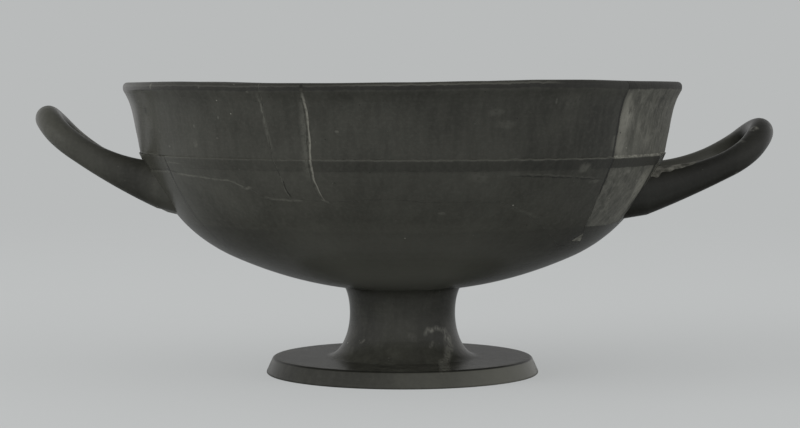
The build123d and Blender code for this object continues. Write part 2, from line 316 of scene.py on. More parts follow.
def draw_wall(mesh, bowl, inset):
    """Draws the wall's three arcs to the axis, inset into the clay; returns the first and the last point."""
    lean = bowl.lean_top
    inward = Vector((-cos(lean), 0, sin(lean)))
    start = wall_top(bowl) + inward * inset
    outline = Outline(mesh, start)
    tip = start
    arcs = (
        (bowl.arc_upper - inset, bowl.lean_shoulder, 12),
        (bowl.arc_lower - inset, bowl.lean_belly, 18),
        (None, pi / 2, 34),
    )
    for radius, next_lean, pieces in arcs:
        if radius is None:
            radius = (tip.x - bowl.turning_spot) / cos(lean)
        centre = tip + Vector((-cos(lean), 0, sin(lean))) * radius
        end = centre + Vector((cos(next_lean), 0, -sin(next_lean))) * radius
        outline.arc(end, (-sin(lean), 0, -cos(lean)), pieces)
        tip, lean = end, next_lean
    bottom = point(0, tip.z)
    outline.line(bottom)
    return start, bottom


def draw_lip(mesh, bowl):
    """Draws the outside over the ridge to the rim; returns the outline and the rim's height."""
    low = bowl.ridge_height - bowl.ridge_band
    foot_radius = bowl.rim_radius - bowl.lip_flare
    ridge_radius = foot_radius + bowl.ridge_step
    rim_height = bowl.ridge_height + bowl.lip_height
    outline = Outline(mesh, wall_top(bowl))
    outline.line(point(wall_top(bowl).x + bowl.ridge_undercut, low))
    outline.line(point(ridge_radius, bowl.ridge_height), pieces=4)
    outline.line(point(foot_radius, bowl.ridge_height))
    bend = point(foot_radius + bowl.lip_straight * tan(bowl.lip_lean), bowl.ridge_height + bowl.lip_straight)
    outline.line(bend, pieces=9)
    under_roll = point(bowl.rim_radius, rim_height - bowl.rim_roll_drop)
    outline.arc(under_roll, (sin(bowl.lip_lean), 0, cos(bowl.lip_lean)), pieces=7)
    return outline, rim_height


def thrown_bowl(bowl):
    """The bowl as it was thrown, whole."""
    mesh = bmesh.new()
    draw_wall(mesh, bowl, 0)
    outline, rim_height = draw_lip(mesh, bowl)
    outline.line(point(bowl.rim_radius, rim_height - bowl.rim_roll), pieces=2)
    outline.arc(point(bowl.rim_radius - bowl.rim_roll, rim_height), (0, 0, 1), pieces=6)
    rim_inner = bowl.rim_radius - bowl.rim_wall
    outline.line(point(rim_inner + bowl.rim_inner_round, rim_height), pieces=3)
    inner_edge = point(rim_inner, rim_height - bowl.rim_inner_round)
    outline.arc(inner_edge, (-1, 0, 0), pieces=5)
    inner_top, _ = draw_wall(mesh, bowl, bowl.wall)
    Outline(mesh, inner_top).arc(inner_edge, (sin(bowl.lean_top), 0, cos(bowl.lean_top)), pieces=18)
    return spun(mesh)


def worn_bowl(bowl):
    """The thrown bowl with the edges of its ridge and of its rolled rim worn."""
    mesh = thrown_bowl(bowl)
    ridge_edge = bowl.rim_radius - bowl.lip_flare + bowl.ridge_step
    under_roll = bowl.ridge_height + bowl.lip_height - bowl.rim_roll_drop
    wear_ring(mesh, ridge_edge, bowl.ridge_height, bowl.ridge_round, segments=2)
    wear_ring(mesh, bowl.rim_radius, under_roll, bowl.rim_round, segments=3)
    return mesh


def wear_ring(mesh, radius, height, worn, segments):
    """Rounds the ring of edges at that radius and height."""
    ring = [e for e in mesh.edges if all(on_ring(v.co, radius, height) for v in e.verts)]
    bmesh.ops.bevel(mesh, geom=ring, offset=worn, affect="EDGES", segments=segments, profile=0.5,
                    material=-1)


def bowl_core(bowl):
    """The worn bowl less the depth of a groove on every side. Its faces are broken clay."""
    mesh = worn_bowl(bowl)
    mesh.normal_update()
    for vert in mesh.verts:
        vert.co -= vert.normal * GROOVE_DEPTH
    for face in mesh.faces:
        face.material_index = 1
    return mesh


def on_ring(place, radius, height):
    """Whether a place lies on the ring of that radius and height round the axis."""
    return abs(hypot(place.x, place.y) - radius) < SAME_PLACE and abs(place.z - height) < SAME_PLACE


def wall_bottom(bowl):
    """Height of the lowest point of the bowl's outside."""
    scrap = bmesh.new()
    _, bottom = draw_wall(scrap, bowl, 0)
    scrap.free()
    return bottom.z


def bowl_body(bowl):
    """The bowl filled to its axis, a little inside its outer face: it trims the stem and the handles."""
    mesh = bmesh.new()
    top, _ = draw_wall(mesh, bowl, LUTE_DEPTH)
    outline = Outline(mesh, top)
    outline.line(point(bowl.rim_radius - bowl.lip_flare - LUTE_DEPTH, bowl.ridge_height))
    outline.line(point(0, bowl.ridge_height))
    return spun(mesh)


def new_object(name, mesh):
    """Object at the origin that holds the finished mesh, with a slot for the surface and one for breaks."""
    data = bpy.data.meshes.new(name)
    mesh.to_mesh(data)
    mesh.free()
    return linked(name, data)


def linked(name, data):
    """Object in the scene for the mesh data."""
    for slot in ("surface", "break"):
        data.materials.append(bpy.data.materials.get(slot) or bpy.data.materials.new(slot))
    made = bpy.data.objects.new(name, data)
    bpy.context.scene.collection.objects.link(made)
    return made


def copy_of(name, draw, bowl):
    """Object with its own copy of a mesh that is drawn once and kept under that name."""
    if name not in bpy.data.meshes:
        mesh = draw(bowl)
        mesh.to_mesh(bpy.data.meshes.new(name))
        mesh.free()
    return linked(name, bpy.data.meshes[name].copy())


def without_fins(data):
    """Takes away pairs of faces that lie back to back on the same points, which a cut can leave behind."""
    mesh = bmesh.new()
    mesh.from_mesh(data)
    waiting = {}
    fins = []
    for face in mesh.faces:
        corners = frozenset(face.verts)
        twin = waiting.pop(corners, None)
        if twin:
            fins += [twin, face]
        else:
            waiting[corners] = face
    bmesh.ops.delete(mesh, geom=fins, context="FACES")
    mesh.to_mesh(data)
    mesh.free()


def cut(piece, tools, operation):
    """Cuts the piece with the tool objects, keeps the result as its mesh and takes the tools away."""
    for tool in tools:
        modifier = piece.modifiers.new("cut", "BOOLEAN")
        modifier.operation = operation
        modifier.solver = "MANIFOLD"
        modifier.object = tool
    depsgraph = bpy.context.evaluated_depsgraph_get()
    result = bpy.data.meshes.new_from_object(piece.evaluated_get(depsgraph))
    without_fins(result)
    piece.modifiers.clear()
    piece.data = result
    for tool in tools:
        bpy.data.objects.remove(tool)
    if not result.polygons:
        raise RuntimeError(f"{piece.name} has no faces left after its cut")
    return piece


def sight(bearing, dip):
    """Direction of the sight line (bearing, dip) from the middle of the ridge plane."""
    b, d = radians(bearing), radians(dip)
    return Vector((sin(b) * cos(d), -cos(b) * cos(d), sin(d)))


def ragged(outline, reach):
    """The outline with short uneven steps between its points, the same from either side of a break."""
    points = []
    for first, last in zip(outline, outline[1:] + outline[:1]):
        points.append(first)
        low, high = sorted((first, last))
        steps = round(hypot(high[0] - low[0], high[1] - low[1]) * radians(reach) / BREAK_STEP)
        if low in STRAIGHT_BREAKS and high in STRAIGHT_BREAKS:
            stray = STRAIGHT_STRAY
        else:
            stray = BREAK_STRAY
        draw = random.Random(f"{low} {high}")
        between = []
        for i in range(1, steps):
            aside = degrees(stray / reach) * draw.uniform(-1, 1)
            share = (i + STEP_SHIFT * draw.uniform(-0.5, 0.5)) / steps
            across = Vector((low[1] - high[1], high[0] - low[0])).normalized() * aside
            between.append((low[0] + (high[0] - low[0]) * share + across.x,
                            low[1] + (high[1] - low[1]) * share + across.y))
        points += between if first == low else between[::-1]
    return points


def break_wedge(bowl, outline, grow=0.0):
    """Many-sided wedge through the wall, its sides the break faces of the outline, grown or shrunk there."""
    eye = point(0, bowl.ridge_height)
    bearings = [bearing for bearing, _ in outline]
    facing = sight((min(bearings) + max(bearings)) / 2, 0)
    near, far = WEDGE_START, bowl.rim_radius * WEDGE_END
    mesh = bmesh.new()
    rays = [sight(bearing, dip) for bearing, dip in ragged(outline, bowl.rim_radius)]
    corners = [eye + ray * (near / ray.dot(facing)) for ray in rays]
    edge = Outline(mesh, corners[0])
    first = edge.tip
    for corner in corners[1:]:
        edge.line(corner)
    bmesh.ops.contextual_create(mesh, geom=[edge.tip, first])
    made = bmesh.ops.contextual_create(mesh, geom=mesh.edges[:])["faces"]
    if grow:
        width = abs(grow) * near / bowl.rim_radius
        strip = bmesh.ops.inset_region(mesh, faces=made, thickness=width, use_even_offset=True,
                                       use_boundary=True, use_outset=grow > 0)["faces"]
        if grow < 0:
            bmesh.ops.delete(mesh, geom=strip, context="FACES")
        else:
            bmesh.ops.dissolve_faces(mesh, faces=made + strip)
    lifted = bmesh.ops.extrude_face_region(mesh, geom=mesh.faces[:], use_keep_orig=True)["geom"]
    bmesh.ops.scale(mesh, verts=only(BMVert, lifted), vec=[far / near] * 3, space=Matrix.Translation(-eye))
    bmesh.ops.recalc_face_normals(mesh, faces=mesh.faces)
    for face in mesh.faces:
        face.material_index = 1
    return new_object("wedge", mesh)


def broken_piece(name, bowl, outline, groove):
    """The part of the bowl inside the outline, with a groove along its worn edges."""
    piece = copy_of("worn_bowl", worn_bowl, bowl)
    piece.name = name
    cut(piece, [break_wedge(bowl, outline, -groove)], "INTERSECT")
    if groove:
        core = cut(copy_of("bowl_core", bowl_core, bowl), [break_wedge(bowl, outline)], "INTERSECT")
        cut(piece, [core], "UNION")
    return piece


def rest_of_bowl(name, bowl, outlines, groove):
    """What is left of the bowl outside all the outlines, with a groove along its worn edges."""
    piece = copy_of("worn_bowl", worn_bowl, bowl)
    piece.name = name
    cut(piece, [break_wedge(bowl, outline, groove) for outline in outlines], "DIFFERENCE")
    core = copy_of("bowl_core", bowl_core, bowl)
    cut(core, [break_wedge(bowl, outline) for outline in outlines], "DIFFERENCE")
    return cut(piece, [core], "UNION")


# How far the rim sags at places along X, both in millimetres.
RIM_SAGS = [(-90.0, 0.85), (-67.0, 0.55), (-44.0, 1.0), (-23.5, 1.02), (0.0, 0.78), (24.0, 0.4),
            (40.0, 0.02), (52.0, 0.0), (74.0, 0.42), (90.0, 0.6)]
# Unevenness of the thrown clay: how deep the throwing marks are, how far apart and how much they change
# round the bowl, and how deep and wide the hand's swells are.
THROWING_MARK = 0.06 * MM
MARK_PITCH = 3.1 * MM
MARK_CHANGE = 0.7
HAND_SWELL = 0.16 * MM
SWELL_SIZE = 26 * MM


def rim_sag(across):
    """How far the rim sags at a place along X, both in millimetres."""
    for (left, start), (right, end) in zip(RIM_SAGS, RIM_SAGS[1:]):
        if across <= right:
            share = max(0.0, (across - left) / (right - left))
            return start + (end - start) * share * share * (3 - 2 * share)
    return RIM_SAGS[-1][1]


def uneven(place, bowl):
    """Where a place of the true bowl lies on the uneven, worn one."""
    radius = hypot(place.x, place.y)
    if radius < bowl.turning_spot:
        return place
    out = Vector((place.x, place.y, 0)) / radius
    swell = noise.noise(place * (1 / SWELL_SIZE)) * HAND_SWELL - HAND_SWELL
    ring = Vector((out.x * MARK_CHANGE, out.y * MARK_CHANGE, place.z / MARK_PITCH))
    marks = noise.noise(ring) * THROWING_MARK
    up_lip = max(0.0, (place.z - bowl.ridge_height) / bowl.lip_height)
    sag = rim_sag(place.x / MM) * MM * up_lip * up_lip
    return place + out * (swell + marks) - Vector((0, 0, sag))


def weather(piece, bowl):
    """Moves every point of a piece of the bowl to its uneven place, and keeps its thrown place as well."""
    thrown = piece.data.attributes.new("thrown_place", "FLOAT_VECTOR", "POINT")
    for vert, kept in zip(piece.data.vertices, thrown.data):
        kept.vector = vert.co
        vert.co = uneven(vert.co, bowl)


def finish_piece(piece, node, materials, sharp=32):
    """Gives the piece its materials and shading, puts it under the cup's body and hides the part it stands
    for.
    """
    for index, material in enumerate(materials):
        piece.data.materials[index] = material
    piece.data.shade_smooth()
    piece.data.set_sharp_from_angle(angle=radians(sharp))
    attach(piece, BODY)
    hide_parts(node)


def add(tree, kind, inputs=None, **settings):
    """Adds a shader node with its settings, values and links, and returns its outputs."""
    node = tree.nodes.new("ShaderNode" + kind)
    for name, value in settings.items():
        setattr(node, name, value)
    for socket, value in (inputs or {}).items():
        if isinstance(value, bpy.types.NodeSocket):
            tree.links.new(value, node.inputs[socket])
        else:
            node.inputs[socket].default_value = value
    return node.outputs


def new_material(name, thrown=False):
    """Empty node material, its tree and the place on the piece, or on the thrown bowl, in millimetres."""
    material = bpy.data.materials.new(name)
    material.use_nodes = True
    tree = material.node_tree
    tree.nodes.clear()
    if thrown:
        metres = add(tree, "Attribute", attribute_name="thrown_place")["Vector"]
    else:
        metres = add(tree, "TexCoord")["Object"]
    place = add(tree, "VectorMath", {0: metres, "Scale": 1 / MM}, operation="SCALE")["Vector"]
    return material, tree, place


def shade(tree, **sockets):
    """Ends a material in its shader, whose sockets take values or links by name."""
    inputs = {name.replace("_", " "): value for name, value in sockets.items()}
    surface = add(tree, "BsdfPrincipled", inputs)["BSDF"]
    add(tree, "OutputMaterial", {"Surface": surface})


# Millimetres of wall to a degree of bearing, on the unrolled wall that the marks are drawn on.
WALL_DEGREE = 1.48
# Reach of a mark through the wall, in millimetres, and the share of a drawn line over which each end fades.
THROUGH_WALL = 100
LINE_FADE = 0.12
# Size of the wander of a mark that a hand has drawn, in millimetres.
HAND_WANDER = 2.5


class Coat:
    """Colour of a surface, which grows as further colours are laid over it."""

    def __init__(self, tree, tint):
        self.tree = tree
        self.tint = tint

    def lay(self, colour, strength, *masks):
        """Lays a colour over the coat at that strength, where all the masks let it."""
        amount = strength
        for mask in masks:
            amount = add(self.tree, "Math", {0: mask, 1: amount}, operation="MULTIPLY")[0]
        self.tint = add(self.tree, "Mix", {0: amount, 6: self.tint, 7: colour}, data_type="RGBA")[2]


def patches(tree, place, size, stretch=(1, 1, 1), detail=2.0, low=0.35, high=0.65):
    """Soft patches of about that size in millimetres, from 0 to 1."""
    scales = [1 / (size * s) for s in stretch]
    spread = add(tree, "VectorMath", {0: place, 1: scales}, operation="MULTIPLY")[0]
    grey = add(tree, "TexNoise", {"Vector": spread, "Scale": 1.0, "Detail": detail, "Roughness": 0.6})[0]
    return add(tree, "MapRange", {0: grey, 1: low, 2: high}, interpolation_type="SMOOTHSTEP")[0]


def specks(tree, place, spacing, size, share):
    """Specks up to that size in millimetres, in a share of the cells of that spacing."""
    spread = add(tree, "VectorMath", {0: place, "Scale": 1 / spacing}, operation="SCALE")[0]
    cells = add(tree, "TexVoronoi", {"Vector": spread, "Scale": 1.0})
    drawn = add(tree, "SeparateXYZ", {0: cells["Color"]})
    reach = add(tree, "MapRange", {0: drawn["Y"], 3: 0.4 * size / spacing, 4: size / spacing})[0]
    inside = add(tree, "Math", {0: cells["Distance"], 1: reach}, operation="LESS_THAN")[0]
    chosen = add(tree, "Math", {0: drawn["X"], 1: share}, operation="LESS_THAN")[0]
    return add(tree, "Math", {0: inside, 1: chosen}, operation="MULTIPLY")[0]


def follow(tree, value, steps):
    """Value that follows another through straight steps (value, result)."""
    first, last = steps[0][0], steps[-1][0]
    low = min(result for _, result in steps)
    span = max(max(result for _, result in steps) - low, 0.001)
    share = add(tree, "MapRange", {0: value, 1: first, 2: last})[0]
    bent = add(tree, "FloatCurve", {"Value": share})[0]
    curve = bent.node.mapping.curves[0]
    curve.points[0].location = (0, (steps[0][1] - low) / span)
    curve.points[-1].location = (1, (steps[-1][1] - low) / span)
    for at, result in steps[1:-1]:
        curve.points.new((at - first) / (last - first), (result - low) / span)
    for corner in curve.points:
        corner.handle_type = "VECTOR"
    bent.node.mapping.update()
    return add(tree, "MapRange", {0: bent, 3: low, 4: low + span})[0]


def by_bearing(steps):
    """Steps (bearing, result) as steps along the unrolled wall."""
    return [(bearing * WALL_DEGREE, result) for bearing, result in steps]


def unrolled(tree, place, bowl, stray=0.5):
    """Place along the unrolled wall and up from the ridge in millimetres, which strays as a hand does."""
    parts = add(tree, "SeparateXYZ", {0: place})
    front = add(tree, "Math", {0: parts["Y"], 1: -1.0}, operation="MULTIPLY")[0]
    turn = add(tree, "Math", {0: parts["X"], 1: front}, operation="ARCTAN2")[0]
    along = add(tree, "Math", {0: turn, 1: degrees(1) * WALL_DEGREE}, operation="MULTIPLY")[0]
    coarse = add(tree, "VectorMath", {0: place, "Scale": 1 / HAND_WANDER}, operation="SCALE")[0]
    jitter = add(tree, "TexNoise", {"Vector": coarse, "Scale": 1.0, "Detail": 3.0})["Color"]
    jitter = add(tree, "VectorMath", {0: jitter, 1: (0.5, 0.5, 0.5)}, operation="SUBTRACT")[0]
    height = add(tree, "Math", {0: parts["Z"], 1: bowl.ridge_height / MM}, operation="SUBTRACT")[0]
    flat = add(tree, "CombineXYZ", {0: along, 1: height})[0]
    return add(tree, "VectorMath", {0: jitter, 1: (stray * 2,) * 3, 2: flat}, operation="MULTIPLY_ADD")[0]


def drawn_line(tree, wall, points, half_width, soft, upright=False):
    """Mask of a line through points (bearing, height) of the unrolled wall, fading at its ends."""
    parts = add(tree, "SeparateXYZ", {0: wall})
    if upright:
        along, across = parts["Y"], parts["X"]
        steps = sorted((height, bearing * WALL_DEGREE) for bearing, height in points)
    else:
        along, across = parts["X"], parts["Y"]
        steps = sorted((bearing * WALL_DEGREE, height) for bearing, height in points)
    aside = add(tree, "Math", {0: across, 1: follow(tree, along, steps)}, operation="SUBTRACT")[0]
    apart = add(tree, "Math", {0: aside}, operation="ABSOLUTE")[0]
    near = add(tree, "MapRange", {0: apart, 1: half_width, 2: half_width + soft, 3: 1.0, 4: 0.0})[0]
    first, last = steps[0][0], steps[-1][0]
    fade = (last - first) * LINE_FADE
    ends = follow(tree, along, [(first - 0.01, 0), (first + fade, 1), (last - fade, 1), (last + 0.01, 0)])
    return add(tree, "Math", {0: near, 1: ends}, operation="MULTIPLY")[0]


def drawn_scar(tree, flat, points, half_width, soft):
    """Mask of a scar through points (across, up) of a flat view, which may turn back on itself."""
    nearest = None
    for first, last in zip(points, points[1:]):
        start = Vector((*first, 0))
        run = Vector((*last, 0)) - start
        pull = run / run.length_squared
        away = add(tree, "VectorMath", {0: flat, 1: start}, operation="SUBTRACT")[0]
        share = add(tree, "VectorMath", {0: away, 1: pull}, operation="DOT_PRODUCT")["Value"]
        share = add(tree, "Clamp", {0: share})[0]
        back = add(tree, "VectorMath", {0: run, "Scale": share}, operation="SCALE")[0]
        off = add(tree, "VectorMath", {0: away, 1: back}, operation="SUBTRACT")[0]
        apart = add(tree, "VectorMath", {0: off}, operation="LENGTH")["Value"]
        if nearest is None:
            nearest = apart
        else:
            nearest = add(tree, "Math", {0: nearest, 1: apart}, operation="MINIMUM")[0]
    return add(tree, "MapRange", {0: nearest, 1: half_width, 2: half_width + soft, 3: 1.0, 4: 0.0})[0]


def patch(tree, where, centre, reach, soft):
    """Mask of a patch round a place, with its reach along each axis and its soft edge as a share of that."""
    away = add(tree, "VectorMath", {0: where, 1: centre}, operation="SUBTRACT")[0]
    away = add(tree, "VectorMath", {0: away, 1: [1 / r for r in reach]}, operation="MULTIPLY")[0]
    apart = add(tree, "VectorMath", {0: away}, operation="LENGTH")["Value"]
    edge = {0: apart, 1: 1 - soft, 2: 1.0, 3: 1.0, 4: 0.0}
    return add(tree, "MapRange", edge, interpolation_type="SMOOTHSTEP")[0]


def wall_patch(tree, wall, centre, reach, soft):
    """Mask of a patch round a place (bearing, height) of the unrolled wall."""
    bearing, height = centre
    return patch(tree, wall, (bearing * WALL_DEGREE, height, 0), (*reach, THROUGH_WALL), soft)


def outer_face(tree, place):
    """Mask of the faces that look away from the cup's axis."""
    radial = add(tree, "VectorMath", {0: place, 1: (1, 1, 0)}, operation="MULTIPLY")[0]
    radial = add(tree, "VectorMath", {0: radial}, operation="NORMALIZE")[0]
    facing = add(tree, "NewGeometry")["Normal"]
    outward = add(tree, "VectorMath", {0: facing, 1: radial}, operation="DOT_PRODUCT")["Value"]
    return add(tree, "MapRange", {0: outward, 1: 0.0, 2: 0.1})[0]


# How strongly the burnish mirrors, by how far the face looks up: dust and the rough underside are dull.
BURNISH = [(-1.0, 0.06), (-0.65, 0.1), (-0.35, 0.5), (0.3, 0.5), (0.8, 0.1), (1.0, 0.02)]
# How far a face looks up before dust begins to settle on it, and where it lies thickest.
SETTLING = (0.35, 1.0)


def clay_ground(tree, place, colours, settled_dust):
    """Clay greyed in patches and in the burnishing tool's streaks, with grit: coat, relief and burnish."""
    coat = Coat(tree, colours.clay)
    coat.lay(colours.clay_dust, 0.1, patches(tree, place, 22))
    coat.lay(colours.clay_dust, 0.08, patches(tree, place, 2.4, (1, 1, 16), low=0.3, high=0.7))
    coat.lay(colours.clay_dust, 0.1, patches(tree, place, 1.1, detail=4.0, low=0.4, high=0.75))
    coat.lay(colours.clay_speck, 0.8, specks(tree, place, spacing=4.6, size=0.26, share=0.3))
    coat.lay(colours.clay_speck, 0.4, specks(tree, place, spacing=2.3, size=0.15, share=0.16))
    coat.lay(colours.pit_and_shade, 0.6, specks(tree, place, spacing=3.3, size=0.3, share=0.25))
    facing = add(tree, "NewGeometry")["Normal"]
    upward = add(tree, "SeparateXYZ", {0: facing})["Z"]
    settled = add(tree, "MapRange", {0: upward, 1: SETTLING[0], 2: SETTLING[1]})[0]
    grainy = patches(tree, place, 3.0, detail=5.0, low=0.25, high=0.75)
    coat.lay(colours.clay_dust, settled_dust, settled, grainy)
    wheel = patches(tree, place, 0.9, (40, 40, 1), low=0.2, high=0.8)
    grain = patches(tree, place, 0.6, detail=3.0, low=0.2, high=0.8)
    relief = add(tree, "Math", {0: grain, 1: 0.6, 2: wheel}, operation="MULTIPLY_ADD")[0]
    return coat, relief, follow(tree, upward, BURNISH)


def clay_shader(tree, coat, relief, burnish, dull):
    """Ends a clay material: a low, satin burnish over fine relief."""
    # Wheel and tool marks of about 0.02 mm are drawn a little deeper, so that they show.
    normal = add(tree, "Bump", {"Height": relief, "Distance": 0.03 * MM, "Strength": 0.8})[0]
    shade(tree, Base_Color=coat.tint, Roughness=dull, IOR=1.4, Specular_IOR_Level=burnish, Normal=normal)


# Marks on the bowl: lines through points (bearing, height above the ridge), with their half width, soft edge
# and strength, and patches with their middle, reach and strength.
PALE_UPRIGHTS = [
    ([(-28.4, 20.5), (-27.8, 16.4), (-27.7, 11.5), (-27.0, 5.7), (-26.8, 2.2)], 0.1, 0.8, 0.32),
    ([(-28.1, 18.2), (-27.8, 14.2), (-27.7, 10.4)], 0.05, 0.22, 0.45),
    ([(-19.1, 20.4), (-19.0, 14.4), (-19.3, 8.7), (-19.3, 2.9), (-19.2, -6.5)], 0.3, 1.5, 0.36),
    ([(-25.9, -5.6), (-25.5, -8.5), (-25.0, -11.2)], 0.05, 0.22, 0.5),
    ([(47.9, 7.0), (48.1, 1.8)], 0.4, 1.6, 0.3),
    ([(74.2, -1.5), (75.0, -8.0), (76.0, -15.5)], 1.0, 2.6, 0.65),
]
LONG_SCRATCH = [(-58.5, -5.2), (-53.2, -5.5), (-46.6, -6.1), (-39.4, -6.7), (-35.3, -8.5), (-33.4, -9.9)]
PALE_LEVELS = [
    (LONG_SCRATCH, 0.08, 0.3, 0.5),
    ([(-31.4, -11.1), (-29.3, -11.9), (-24.3, -12.3), (-21.6, -12.1)], 0.1, 0.4, 0.42),
    ([(-18.4, -9.6), (-17.4, -11.9), (-15.8, -12.8)], 0.06, 0.22, 0.6),
    ([(-74.8, 0.2), (-65.8, 0.3), (-59.1, -0.2)], 0.08, 0.3, 0.45),
    ([(-59.8, -1.9), (-53.2, -2.1)], 0.08, 0.3, 0.3),
    ([(-76.0, -5.6), (-66.0, -5.0), (-58.0, -4.8)], 0.1, 0.4, 0.3),
    ([(24.4, -4.4), (28.8, -4.7), (37.1, -5.4), (46.0, -6.2)], 0.08, 0.4, 0.2),
    ([(24.0, -14.0), (30.0, -16.6), (33.5, -17.9)], 0.1, 0.6, 0.22),
]
DARK_UPRIGHTS = [
    ([(-25.5, -5.9), (-25.2, -9.1), (-24.4, -11.5)], 0.1, 0.2, 0.85),
    ([(-77.5, -0.7), (-78.5, -5.5)], 0.12, 0.3, 0.7),
]
DARK_LEVELS = [
    ([(21.9, -4.8), (28.8, -5.2), (37.1, -5.8), (48.4, -6.7)], 0.08, 0.24, 0.6),
    ([(-76.9, -4.9), (-59.9, -4.1)], 0.08, 0.2, 0.5),
]
# Joins that stand open, which show as dark lines.
LEFT_OPEN = [(-59.5, 0.5), (-59.7, -3.0), (-59.9, -10.0), (-60.4, -18.0), (-59.9, -26.0), (-59.7, -35.0)]
PANEL_OPEN = [(48.2, 21.5), (48.2, 0.0), (48.4, -9.5), (50.5, -17.2)]
DARK_JOINS = [(LEFT_OPEN, 0.12, 0.24, 0.8), (PANEL_OPEN, 0.16, 0.3, 0.9)]
SMUDGES = [
    ((-35.0, -8.7), (2.6, 0.8), 0.55),
    ((18.1, 13.9), (4.0, 1.4), 0.2),
    ((20.1, 10.4), (4.5, 1.6), 0.18),
    ((15.7, -5.0), (4.0, 2.2), 0.2),
    ((23.2, -3.9), (3.0, 1.6), 0.15),
    ((40.3, -2.9), (3.4, 2.0), 0.45),
    ((44.9, -7.1), (3.6, 1.0), 0.28),
    ((8.6, -15.8), (1.6, 0.6), 0.45),
    ((34.0, 17.5), (6.0, 3.5), 0.14),
    ((-46.1, 9.5), (0.7, 0.8), 0.6),
    ((-46.6, 4.2), (1.3, 1.6), 0.35),
    ((-38.8, 12.4), (0.5, 0.6), 0.5),
    ((-60.1, 7.6), (0.5, 0.9), 0.5),
    ((-39.8, 6.0), (0.6, 0.5), 0.4),
    ((-56.4, 3.1), (0.9, 0.5), 0.4),
    ((-30.2, 20.4), (0.7, 0.6), 0.6),
    ((-58.2, 21.8), (0.7, 1.2), 0.6),
    ((-42.1, 21.7), (0.5, 0.8), 0.5),
    ((-12.8, 8.4), (0.8, 0.6), 0.45),
    ((30.5, 17.0), (0.5, 1.2), 0.4),
]
DARK_SPOTS = [
    ((-65.4, 13.9), (1.4, 1.6), 0.6),
    ((-60.3, -4.2), (0.7, 0.6), 0.8),
    ((41.0, 10.0), (10.0, 10.0), 0.3),
]
# A smooth paler place on the left wall.
PALE_WALL = ((-40.0, -14.0), (18.0, 10.0), 0.13)
# Tone of the slip by height above the ridge: darker under the turned line on the wall.
SLIP_TONES = [(-45.5, 0.1), (-32.7, 0.16), (-32.1, 0.1), (-29.5, 0.1), (-28.9, 0.24), (-22.0, 0.24),
              (-21.3, 0.0), (20.0, 0.0)]
# Dust on the slip by bearing, and painted light from the left: paler on the left.
SLIP_DUST_AND_LIGHT = [(-180.0, 0.0), (-100.0, 0.1), (-60.0, 0.14), (-42.0, 0.01), (-22.0, 0.06), (-8.0, 0.02),
             (20.0, 0.05), (36.0, 0.0), (180.0, 0.0)]
# Painted shade on the ridge's face, by height above the ridge and by bearing.
RIDGE_SHADE_HEIGHTS = [(-3.4, 0.0), (-3.2, 1.0), (-0.6, 1.0), (-0.4, 0.0)]
RIDGE_SHADE_BEARINGS = [(-180.0, 0.12), (-60.0, 0.04), (-10.0, 0.12), (20.0, 0.26), (60.0, 0.3),
                       (180.0, 0.12)]
# Painted light from the floor on the bowl's underside, in the dust's colour, by height above the ridge and
# by bearing.
UNDERSIDE_LIGHT_HEIGHTS = [(-45.5, 0.85), (-37.0, 0.8), (-31.0, 0.5), (-24.0, 0.36), (-18.0, 0.14), (-4.0, 0.1),
                    (-3.0, 0.0), (20.0, 0.0)]
UNDERSIDE_LIGHT_BEARINGS = [(-62.0, 0.0), (-42.0, 0.3), (-20.0, 1.0), (16.0, 1.0), (34.0, 0.5), (52.0, 0.0)]
# Painted highlight along the ridge's edge, by height above it and by bearing.
RIDGE_HIGHLIGHT_HEIGHTS = [(-0.4, 0), (-0.2, 1), (0.1, 1), (0.25, 0)]
RIDGE_HIGHLIGHT_BEARINGS = [(-180.0, 0.3), (-90.0, 0.2), (-58.0, 0.2), (-30.0, 0.1), (-15.0, 0.25), (15.0, 0.35),
                       (48.0, 0.45), (90.0, 0.4), (180.0, 0.3)]
# Lower edge of the painted shade on the rim, as its height above the ridge by bearing, and where about that
# edge the shade starts and is full.
RIM_SHADE = [(-180.0, 20.7), (-100.0, 20.5), (-35.0, 20.6), (-12.0, 20.9), (24.0, 21.0), (38.0, 20.8),
             (180.0, 20.7)]
RIM_SHADE_EDGE = (-0.3, 0.2)
# Painted highlight along the top of the rim, by height over that edge and by bearing.
RIM_HIGHLIGHT_HEIGHTS = [(1.1, 0), (1.3, 1), (1.5, 1), (1.8, 0.3), (2.4, 0.3)]
RIM_HIGHLIGHT_BEARINGS = [(-180.0, 0.0), (-100.0, 0.5), (-60.0, 0.5), (-14.0, 0.4), (-4.0, 1.0), (28.0, 1.0),
                     (32.0, 0.0), (180.0, 0.0)]


def rim_shade(tree, along, height):
    """Mask of the painted shade on the rolled rim, and the height over its lower edge."""
    edge = follow(tree, along, by_bearing(RIM_SHADE))
    over = add(tree, "Math", {0: height, 1: edge}, operation="SUBTRACT")[0]
    return add(tree, "MapRange", {0: over, 1: RIM_SHADE_EDGE[0], 2: RIM_SHADE_EDGE[1]})[0], over


